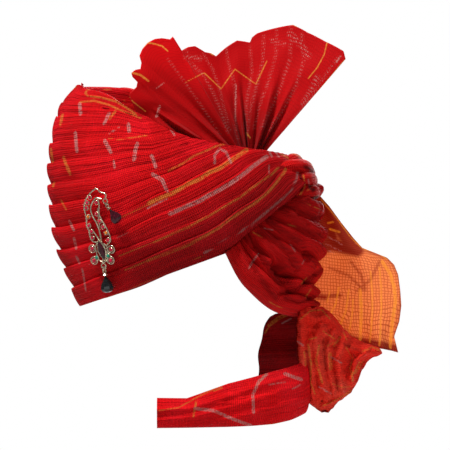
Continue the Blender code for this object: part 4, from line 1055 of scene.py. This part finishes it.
gatherMarks = {
    "gold": [
        (2.0, (307, 343), (310, 362), (309, 380), (306, 396)),
        (1.4, (303, 350), (306, 372), (314, 392)),
        (2.2, (318, 344), (315, 359), (321, 381)), (4.0, (329, 353), (330, 367)),
        (1.8, (340, 336), (333, 345)), (2.4, (351, 371), (352, 380)), (1.8, (359, 362), (352, 374)),
        (1.4, (343, 332), (346, 339)), (1.4, (322, 404), (337, 398), (351, 390)),
        (1.4, (301, 399), (308, 404)), (1.6, (308, 338), (315, 336)),
        (1.3, (299, 318), (309, 310), (321, 309), (329, 318)), (1.0, (306, 305), (318, 303)),
        (1.2, (322, 330), (334, 338)), (1.1, (345, 346), (352, 358), (349, 370)),
        (1.5, (362, 351), (372, 347), (381, 351)), (1.2, (355, 373), (363, 361)),
        (1.0, (331, 382), (340, 386), (350, 386)), (1.2, (326, 345), (333, 341)),
    ],
    # strokes of painted shade in the gather's hollows
    "hollows": [
        (1.5, (297, 322), (299, 340), (296, 352)), (1.6, (327, 340), (322, 352), (326, 368)),
        (1.4, (344, 372), (352, 360)), (1.2, (306, 350), (308, 376)), (1.4, (335, 372), (338, 388)),
        (1.2, (314, 326), (328, 324)), (1.4, (360, 374), (364, 362)), (1.0, (344, 344), (360, 350)),
    ],
    "silver": [(2.0, (297, 340), (302, 344)), (1.6, (330, 356), (341, 362)),
               (1.6, (318, 385), (330, 392))],
}


def ridge(x, y, folds):
    # height of the given folds at a pixel
    total = 0.0
    for tall, half, *way in folds:
        nearest = 1e9
        for (ax, ay), (bx, by) in zip(way, way[1:]):
            wx, wy = bx - ax, by - ay
            t = clamp(((x - ax) * wx + (y - ay) * wy) / (wx * wx + wy * wy))
            nearest = min(nearest, sqrt((x - ax - t * wx) ** 2 + (y - ay - t * wy) ** 2))
        total = max(total, tall * exp(-((nearest / half) ** 2)))
    return total / 1000


def buildGather(finish):
    rows = gather["rows"]
    top, low = rows[0][0], rows[-1][0]

    def place(u, v):
        y = top + (low - top) * u
        left, right, thick = (line(rows, y, k) for k in (1, 2, 3))
        share = 1 - abs(1 - 2 * v)
        if share < 0.02:
            share = 0.5 - 0.5 * cos(pi * share)
        x = left + (right - left) * share
        half = 0.5 * gather["thick"] * thick * max(0.0, 1 - (2 * share - 1) ** 2) ** 0.5
        away = gather["away"] - gather["lean"] * (x - gather["leanFrom"]) / gather["leanOver"]
        if v <= 0.5:
            fold = ridge(x, y, gather["folds"]) * (1 - (2 * share - 1) ** 8)
            fold += gather["slack"] * soft(x * 0.11, y * 0.13)
            fold -= gather["crumple"] * abs(soft(x * 0.21, y * 0.17, 4.0))
            away += 0.5 * half + fold - 0.002
        else:
            away -= half + 0.0005
        return Vector((away, *pixelPoint(x, y + 1.2 * soft(x * 0.2, y * 0.2))))

    return paddedTube("tailGather", 190, 130, place, (0.10, 0.12), finish)


wrap = {
    "halfWide": 0.066, "halfLong": 0.088, "back": 0.116, "front": 0.0415, "drop": 0.165,
    "thick": 0.010, "sink": 0.0012, "slack": 0.0010,
    # share along; turn from the back, share of the way ahead, top, bottom and thickness
    "rows": [
        (0.00, 31, 0.00, 0.590, 0.905, 0.80), (0.09, 46, 0.00, 0.620, 0.940, 1.00),
        (0.19, 60, 0.00, 0.645, 0.960, 1.00), (0.32, 75, 0.00, 0.680, 0.968, 1.00),
        (0.46, 90, 0.00, 0.715, 0.973, 0.95), (0.64, 90, 0.33, 0.765, 0.976, 0.90),
        (0.78, 90, 0.58, 0.802, 0.978, 0.90), (1.00, 90, 1.00, 0.800, 0.980, 0.85),
    ],
    "folds": [
        (2.2, 2.6, (158, 406), (190, 404), (222, 394), (252, 383), (285, 372)),
        (1.8, 2.2, (158, 416), (196, 412), (232, 402), (262, 392), (296, 380)),
        (2.0, 2.4, (176, 424), (214, 419), (246, 410), (276, 402), (304, 394)),
        (1.4, 1.8, (210, 398), (240, 399), (270, 396)),
    ],
}
wrapMarks = {
    "gold": [(1.0, (159, 424), (200, 424), (250, 423), (280, 419)), (1.2, (214, 387), (222, 384)),
             (1.2, (256, 382), (266, 369)), (1.0, (160, 406), (180, 403), (200, 392), (232, 377)),
             (1.8, (194, 412), (197, 397))],
    "silver": [
        (2.8, (253, 408), (252, 391), (258, 378), (266, 371)),
        (3.0, (196, 404), (214, 406), (232, 414), (250, 421)),
        (3.2, (284, 371), (300, 377)), (1.4, (291, 386), (299, 382)),
        (1.2, (268, 381), (284, 379)),
    ],
}


def neckPoint(turn, up, out=0.0, ahead=0.0):
    across, along = sin(radians(turn)), cos(radians(turn))
    middle = wrap["back"] - wrap["halfLong"]
    forward = (middle + wrap["front"]) * ahead
    return Vector(((wrap["halfWide"] + out) * across,
                   middle + (wrap["halfLong"] + out) * along - forward, up))


def buildWrap(finish):
    rows = wrap["rows"]

    def place(u, v):
        turn, ahead, top, bottom, thick = (line(rows, u, k) for k in range(1, 6))
        share = 0.5 - 0.5 * cos(pi * (1 - abs(1 - 2 * v)))
        up = -wrap["drop"] * (bottom + (top - bottom) * share)
        inner = neckPoint(turn, up, 0, ahead)
        if v > 0.5:
            return inner
        fullness = max(0.0, 1 - (2 * share - 1) ** 2) ** 0.5
        x, y = pixelOf(inner)
        out = thick * wrap["thick"] + ridge(x, y, wrap["folds"]) - wrap["sink"]
        out += wrap["slack"] * soft(x * 0.05, y * 0.12)
        return neckPoint(turn, up, out * fullness, ahead)

    return paddedTube("tailWrap", 90, 170, place, (0.165, 0.10), finish)


collar = {
    "wall": 0.0008, "drop": 0.120,
    # turn to the far side; height of its top edge as a share of its drop
    "tops": [(-17, 0.385), (0, 0.385), (20, 0.390), (37, 0.405), (53, 0.425), (64, 0.445),
             (69.5, 0.47)],
    "slope": 9,              # degrees that its free end leans in at the top
    "roll": 0.0022, "wave": 0.0016,
}
collarMarks = {
    "gold": [(3.6, (270, 327), (279, 320), (292, 314), (302, 311)), (1.4, (266, 335), (271, 326)),
             (1.6, (274, 315), (284, 311)), (1.2, (286, 309), (296, 306))],
    "silver": [(1.4, (283, 325), (292, 320))],
}


def buildCollar(finish):
    first, last = collar["tops"][0][0], collar["tops"][-1][0]

    def place(u, v):
        turn = first + (last - first) * u
        top = line(collar["tops"], turn, 1)
        turn -= collar["slope"] * (1 - v) ** 3 * u ** 3
        up = -collar["drop"] * (top + (1 - top) * v)
        out = collar["roll"] * sin(4.2 * pi * v + 3 * u) + collar["wave"] * sin(11 * u + 2 * v)
        return neckPoint(-turn, up, out)

    return clothGrid("tailCollar", 120, 60, place, (0.13, 0.066), finish, wall=collar["wall"])


# Pin

pin = {
    "turn": 55, "height": 0.065, "lean": radians(16), "tall": 0.076, "stand": 0.0026,
    "wire": 0.00075, "seat": 0.0023, "seatTop": 0.0013, "loop": 0.0037, "loopWire": 0.00055,
    "plate": (0.0044, 0.0108), "plateThick": 0.0012, "tilt": radians(14),    # under the marquise
    "rims": [(0.0010, 0.0042), (0.0020, 0.0040)], "rimLong": 0.0106, "rimWire": 0.00042,
    "beads": (0.0052, 0.0118), "bead": 0.0005, "ring": 0.0024, "ringWire": 0.0006,
    "stem": [(-0.0035, -0.022, -0.0004), (-0.0034, 0.0, -0.0002), (-0.0033, 0.019, -0.0004)],
    # places across and up from its middle as shares of its height
    "leafStones": [(-0.130, 0.393), (-0.174, 0.321), (-0.197, 0.254), (-0.182, 0.141),
                   (-0.188, 0.026), (-0.158, -0.050), (-0.155, -0.134)],
    "columnStones": [(-0.036, 0.321), (-0.054, 0.174), (-0.020, 0.080), (0.020, 0.005),
                     (0.056, -0.074), (0.074, -0.168)],
    "greenStones": [(-0.122, -0.392), (0.050, -0.372)],
    "loops": [(-0.178, -0.275), (0.098, -0.290), (-0.168, -0.428), (0.074, -0.430)],
    "marquiseAt": (-0.030, -0.296), "bottomRing": (-0.040, -0.500), "sideRing": (0.090, 0.335),
    "wires": [
        [(-0.070, -0.190), (-0.155, -0.182), (-0.190, -0.115), (-0.195, -0.045), (-0.222, 0.030),
         (-0.216, 0.141), (-0.232, 0.254), (-0.206, 0.340), (-0.148, 0.418), (-0.030, 0.495),
         (0.040, 0.450), (0.105, 0.425), (0.093, 0.360)],
        [(0.035, 0.360), (-0.046, 0.378), (-0.130, 0.275), (-0.128, 0.170), (-0.070, 0.050),
         (-0.040, -0.067), (-0.030, -0.215)],
        [(-0.150, -0.026), (-0.100, -0.100), (-0.055, -0.175)],
        [(-0.020, 0.376), (-0.004, 0.310), (-0.020, 0.180), (0.012, 0.092), (0.052, 0.015),
         (0.090, -0.070), (0.106, -0.165), (0.060, -0.222), (0.000, -0.240)],
        [(-0.068, -0.175), (-0.122, -0.240), (-0.122, -0.310), (-0.112, -0.380), (-0.085, -0.430),
         (-0.035, -0.452)],
        [(0.000, -0.215), (0.044, -0.255), (0.048, -0.320), (0.040, -0.380), (0.015, -0.430),
         (-0.035, -0.456)],
        [(-0.035, -0.400), (-0.040, -0.440), (-0.040, -0.475)],
    ],
}


def pinMatrix():
    turn = radians(pin["turn"])
    seat = wrapPoint(pin["turn"], pin["height"], pin["stand"])
    out = Vector((sin(turn) / winding["sideReach"], -cos(turn) / winding["frontReach"], 0))
    out.normalize()
    along = Vector((-out.y, out.x, 0))
    across = along * cos(pin["lean"]) - Vector((0, 0, sin(pin["lean"])))
    up = out.cross(across)
    axes = Matrix((across, up, out)).transposed().to_4x4()
    bow = Euler((winding["bow"], 0, 0)).to_matrix().to_4x4()
    return bow @ Matrix.Translation(seat) @ axes


def pinSpot(spot, out=0.0):
    return Vector((spot[0] * pin["tall"], spot[1] * pin["tall"], out))


def addWire(shape, points, radius, sides=8, count=40, twist=0.0):
    # round wire; with a twist its skin shows the strands of a cord of wires
    strand = 0.16 if twist else 0.0
    addTube(shape, sides, count, tubeAlong(
        points, lambda u, angle: radius * (1 + strand * sin(2 * angle + twist * u))))


def almondRim(angle):
    # a point of the marquise's outline: an ellipse drawn out to a tip at each end
    x, y = cos(angle), sin(angle)
    return Vector((x * (1 - abs(y) ** 1.6) / max(0.02, abs(x)), y, 0))


def addRing(shape, centre, radius, wire, count=28, sides=8, stretch=None, tilt=0.0):
    # ring of wire, round or with stretch the outline of the marquise
    points = []
    for k in range(count + 1):
        angle = 2 * pi * k / count
        rim = Vector((cos(angle), sin(angle), 0)) * radius
        if stretch:
            rim = almondRim(angle) * Vector((*stretch, 0))
        points.append(centre + Matrix.Rotation(tilt, 3, "Z") @ rim)

    def place(u, v):
        here = points[round(u * count)]
        angle = 2 * pi * v
        return (here + (here - centre).normalized() * (wire * cos(angle))
                + Vector((0, 0, wire * sin(angle))))

    addGrid(shape, count, sides, place, (0.01, 0.01))


def addBead(shape, centre, radius, squash=1.0):
    made = bmesh.ops.create_icosphere(shape, subdivisions=2, radius=radius)["verts"]
    for vert in made:
        vert.co = centre + Vector((vert.co.x, vert.co.y, vert.co.z * squash))


def addSeat(shape, centre, radius, height):
    # plate with a rim of fine wire and four claws
    made = bmesh.ops.create_cone(shape, cap_ends=True, segments=24, radius1=radius * 0.9,
                                 radius2=radius * 0.94, depth=height)["verts"]
    bmesh.ops.translate(shape, vec=centre + Vector((0, 0, height / 2)), verts=made)
    addRing(shape, centre + Vector((0, 0, height)), radius * 0.9, radius * 0.13)
    for k in range(4):
        angle = pi / 4 + k * pi / 2 + centre.x * 400
        claw = Vector((radius * 0.86 * cos(angle), radius * 0.86 * sin(angle), height + 0.0007))
        addBead(shape, centre + claw, radius * 0.17, 1.3)


def buildPin(finish):
    shape = bmesh.new()
    for spot in pin["leafStones"] + pin["columnStones"] + pin["greenStones"]:
        addSeat(shape, pinSpot(spot), pin["seat"], pin["seatTop"])
    for spot in pin["loops"]:
        centre = pinSpot(spot, 0.0009)
        addRing(shape, centre, pin["loop"], pin["loopWire"], 40, 10)
        addRing(shape, centre + Vector((0, 0, 0.0002)), 0.0022, 0.0003)
        ends = [centre + Vector((x, 0, -0.0002)) for x in (-0.0035, 0.0035)]
        addWire(shape, [ends[0], centre, ends[1]], 0.0004, 6, 8)
    for k, way in enumerate(pin["wires"]):
        # the second wire is the stoutest; the long ones are cords of twisted wire
        points = [pinSpot(spot, 0.0008 + 0.00005 * k) for spot in way]
        addWire(shape, points, pin["wire"] * (1.15 if k == 1 else 0.95), 10, 40 + 14 * len(way),
                60 * len(way) if k in (0, 1, 3) else 0.0)
    leaf = [pinSpot(spot, 0.0011) for spot in pin["wires"][0]]
    for k in range(34):
        here = spline(leaf, (k + 0.5) / 34)
        addBead(shape, here + Vector((-0.0007, 0.0002, 0)), 0.00042)
    centre = pinSpot(pin["marquiseAt"], 0.0006)
    turned = Matrix.Rotation(pin["tilt"], 3, "Z")
    made = bmesh.ops.create_cone(shape, cap_ends=True, segments=40, radius1=1, radius2=1,
                                 depth=pin["plateThick"])["verts"]
    for vert in made:
        rim = almondRim(np.arctan2(vert.co.y, vert.co.x)) * Vector((*pin["plate"], 0))
        vert.co = centre + turned @ Vector((rim.x, rim.y, vert.co.z))
    for lift, wide in pin["rims"]:
        addRing(shape, centre + Vector((0, 0, lift)), 1, pin["rimWire"], 48, 8,
                (wide, pin["rimLong"]), pin["tilt"])
    for k in range(18):
        rim = almondRim(2 * pi * k / 18) * Vector((*pin["beads"], 0))
        addBead(shape, centre + turned @ (rim + Vector((0, 0, 0.0006))), pin["bead"])
    for key in ("bottomRing", "sideRing"):
        addRing(shape, pinSpot(pin[key], 0.0008), pin["ring"], pin["ringWire"], 32, 8)
    addBead(shape, pinSpot((-0.030, 0.500), 0.0012), 0.0011)
    addWire(shape, pin["stem"], 0.0006, 8, 12)
    bmesh.ops.recalc_face_normals(shape, faces=shape.faces)
    shape.transform(pinMatrix())
    return finishCloth("pinFrame", shape, finish)


# Crown, as thin turns of cloth over the hollow

def buildCrown(finish):
    shape = bmesh.new()
    uvMap = shape.loops.layers.uv.new("cloth")
    bmesh.ops.create_uvsphere(shape, u_segments=96, v_segments=64, radius=1)
    bmesh.ops.delete(shape, geom=[v for v in shape.verts if v.co.z < -1e-6], context="VERTS")
    for face in shape.faces:
        for loop in face.loops:
            loop[uvMap].uv = (loop.vert.co.x * 0.08, loop.vert.co.y * 0.1)
    wall = winding["crownWall"]
    for vert in shape.verts:
        way = vert.co.copy()
        turns = 0.008 * sin(26 * way.y + 5 * way.x + 2 * soft(way.x * 2, way.y * 2))
        vert.co = toWorld(Vector((way.x * (winding["headWide"] + wall),
                                  way.y * (winding["headLong"] + wall),
                                  way.z * (winding["headDeep"] + wall))) * (1 + turns))
    return finishCloth("crownTurns", shape, finish, wall)


print("materials")
# crepe georgette, piece-dyed and crinkled: matt, with painted shade in its creases and brighter
# worn patches
crepe = clothMaterial("redCrepeGeorgette", "f0060f", "8c0006", "fa1024")
# the same cloth twisted tight, pressed and loosely folded: a little darker as painted shade, then
# paler and brighter as painted light where it lies in shade
rolledShaded = clothMaterial("redCrepeTwistedShaded", "e60a0c", "8c0406", "f01014")
crumpled = clothMaterial("redCrepeCrumpledLit", "ff3424", "ee2018", "ff6a50", 0.40, 0.12)
wrappedLit = clothMaterial("redCrepeWrappedLit", "ff0a14", "b80408", "ff1c2c")
# where it lies in the shade of the rest: plain turns of the crown, and the collar's inside
lining = clothMaterial("redCrepePlain", "a80006", "5a0003", "c0000c", marks=False)
dark = clothMaterial("redCrepeShaded", "980006", "4c0002", "a80008")
# stiff silk organza: an even red with rows of silver dots, the side layer's copy brighter as
# painted light; the gold one lets light through
organza = sheerMaterial("redOrganza", "d2050c", "b40006", 0.95)
sideOrganza = sheerMaterial("redOrganzaSideLit", "e8060e", "c40008", 0.95)
sheer = sheerMaterial("goldRedOrganza", "ffb474", "b82812", 0.92, 0.60)
# cast brass, gilded and gone grey: a soft pale shine between dark spots
gilt = metalMaterial("oxidisedGilt", "e6d8bc", "4a3824")
# moulded glass with foil behind it: dark, with painted flashes of its colour
ruby = glassMaterial("rubyGlass", "a0021e", "f01c54")
amber = glassMaterial("orangeGlass", "c8480a", "ffa030")
green = glassMaterial("greenGlass", "04604c", "30c8a0")
garnet = glassMaterial("garnetGlass", "200208", "5c1024")
black = glassMaterial("blackGlass", "060607", "202224")

print("bands")
nearBand = buildBand("nearBand", 2, 1, 260, crepe)
farBand = buildBand("farBand", 3, -1, 260, crepe)
for made in (nearBand, farBand):
    markCloth(made, *(bandMarks[metal] + bandStripes[metal] for metal in ("gold", "silver")))
keepPaintedShade(nearBand, bandMarks["shade"], bandMarks["shadeEdge"], bandMarks["shadeShare"])
print("crown")
crown = buildCrown(lining)
print("rolls")
rollPieces = []
for k in range(7):
    made = buildRoll(f"backRoll{k + 1}" if k < 6 else "backLoop", k, rolledShaded)
    markCloth(made, rollMarks["gold"], rollMarks["silver"])
    pressed = [(half, *way) for deep, half, *way in rolls["hollows"]]
    keepPaintedShade(made, pressed, rolls["pressEdge"], rolls["pressShare"])
    rollPieces.append(made)
print("knot")
knotPiece = buildKnot(rolledShaded)
markCloth(knotPiece, knotMarks["gold"], knotMarks["silver"])
keepPaintedShade(knotPiece, knotMarks["hollows"], knot["hollowEdge"], knot["hollowShare"])
print("fan")
fanMain = buildFan("fanMain", fan["mainRim"], 6.5, 0.0, organza, 2.3)
fanSide = buildFan("fanSide", fan["sideRim"], 3.5, fan["lap"], sideOrganza, 8.1)
for made in (fanMain, fanSide):
    markCloth(made, fanMarks["gold"], fanMarks["silver"], fanMarks["net"])
    spots = toPixels(made)
    # painted shade near the fan's root and over the side layer's lower part, with the real
    # darkening of its layers
    fromRoot = np.linalg.norm(spots - np.array(fan["gatherAt"]), axis=1)
    drawn = np.clip(1.25 - fromRoot / fan["gatherReach"], 0, 1)
    if made is fanSide:
        shaded = np.clip((spots[:, 1] - fan["shadeTop"]) / fan["shadeDepth"], 0, 1)
        drawn = np.maximum(drawn, 0.75 * shaded)
    keepOnPoints(made, "layersAndShade", drawn)
print("tail")
veilPiece = buildVeil(sheer)
markCloth(veilPiece, veilMarks["gold"], veilMarks["silver"], (), veilMarks["dense"])
gatherPiece = buildGather(crumpled)
keepPaintedShade(gatherPiece, gatherMarks["hollows"], gather["hollowEdge"], gather["hollowShare"])
wrapPiece = buildWrap(wrappedLit)
collarPiece = buildCollar(dark)
for made, marks in ((gatherPiece, gatherMarks), (wrapPiece, wrapMarks),
                    (collarPiece, collarMarks)):
    markCloth(made, marks["gold"], marks["silver"])
print("pin")
pinPiece = buildPin(gilt)

rollNodes = [f"back_roll_{k + 1}" for k in range(6)] + ["back_loop"]
for made, node, slot in (
        (nearBand, "near_band", "red_crepe"), (farBand, "far_band", "red_crepe"),
        (crown, "crown_base", "red_under"),
        *((made, node, "red_rolls") for made, node in zip(rollPieces, rollNodes)),
        (knotPiece, "back_knot", "red_rolls"), (fanMain, "fan_main", "red_organza"),
        (fanSide, "fan_side", "red_organza"), (veilPiece, "tail_veil", "gold_organza"),
        (gatherPiece, "tail_gather", "red_crepe"), (wrapPiece, "tail_wrap", "red_crepe"),
        (collarPiece, "tail_collar", "red_under"), (pinPiece, "brooch_frame", "gilt")):
    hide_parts(node)
    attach(made, "root")

# Stones, links and drops keep the shape of the solids and get their real materials
for names, finish in (
        (("loop_stone", "stone"), ruby), (("stone_4", "stone_12"), amber),
        (("green_stone",), green), (("marquise", "side_drop"), garnet), (("main_drop",), black),
        (("main_link", "side_link", "main_cap", "side_cap"), gilt)):
    for name, node in nodes.items():
        if name.startswith(names):
            node.data.materials[0] = finish

# Room, light and camera

room = {
    "floorDrop": 0.45, "floorHalf": 1.6, "paper": "b0b0b0", "skyLight": 0.14,
    "cameraAway": 3.0, "aimY": 0.025, "aimZ": 0.037, "lens": 240, "film": 36,
    "lightAim": (0, 0.02, 0.04),
    # name, place and side in metres, power in watts
    "lights": [
        ("keyLight", (0.75, -0.80, 1.95), 0.55, 64), ("fillLight", (1.8, -0.4, 0.3), 1.0, 4),
        ("farLight", (-1.5, 0.5, 0.35), 1.0, 34), ("tailLight", (0.70, 1.05, -0.30), 0.45, 3),
    ],
}


def buildRoom():
    scene = bpy.context.scene
    shape = bmesh.new()
    bmesh.ops.create_grid(shape, x_segments=1, y_segments=1, size=room["floorHalf"])
    mesh = bpy.data.meshes.new("floor")
    shape.to_mesh(mesh)
    shape.free()
    floor = bpy.data.objects.new("floor", mesh)
    floor.location.z = -room["floorDrop"]
    scene.collection.objects.link(floor)
    # matt white paper: even and without gloss
    paper = bpy.data.materials.new("whitePaper")
    tree = emptyTree(paper)
    shader = addNode(tree, "BsdfPrincipled", {"Base Color": linear(room["paper"]),
                                              "Roughness": 0.9})
    addNode(tree, "OutputMaterial", {"Surface": shader})
    mesh.materials.append(paper)

    # white to the eye, and a weak light from all sides
    scene.world = bpy.data.worlds.new("studio")
    tree = emptyTree(scene.world)
    white = linear("ffffff")
    seen = addNode(tree, "LightPath", {}, "Is Camera Ray")
    lit = addNode(tree, "Background", {"Color": white, "Strength": room["skyLight"]})
    backdrop = addNode(tree, "Background", {"Color": white, "Strength": 1.0})
    both = addNode(tree, "MixShader", {0: seen, 1: lit, 2: backdrop})
    addNode(tree, "OutputWorld", {"Surface": both})

    for name, place, side, power in room["lights"]:
        lamp = bpy.data.lights.new(name, "AREA")
        lamp.size = side
        lamp.energy = power
        made = bpy.data.objects.new(name, lamp)
        made.location = place
        aim = Vector(room["lightAim"]) - Vector(place)
        made.rotation_euler = aim.to_track_quat("-Z", "Y").to_euler()
        scene.collection.objects.link(made)

    lens = bpy.data.cameras.new("camera")
    lens.lens = room["lens"]
    lens.sensor_width = room["film"]
    camera = bpy.data.objects.new("camera", lens)
    camera.location = (room["cameraAway"], room["aimY"], room["aimZ"])
    camera.rotation_euler = (pi / 2, 0, pi / 2)
    scene.collection.objects.link(camera)
    scene.camera = camera
    scene.view_settings.view_transform = "Standard"


print("room")
buildRoom()
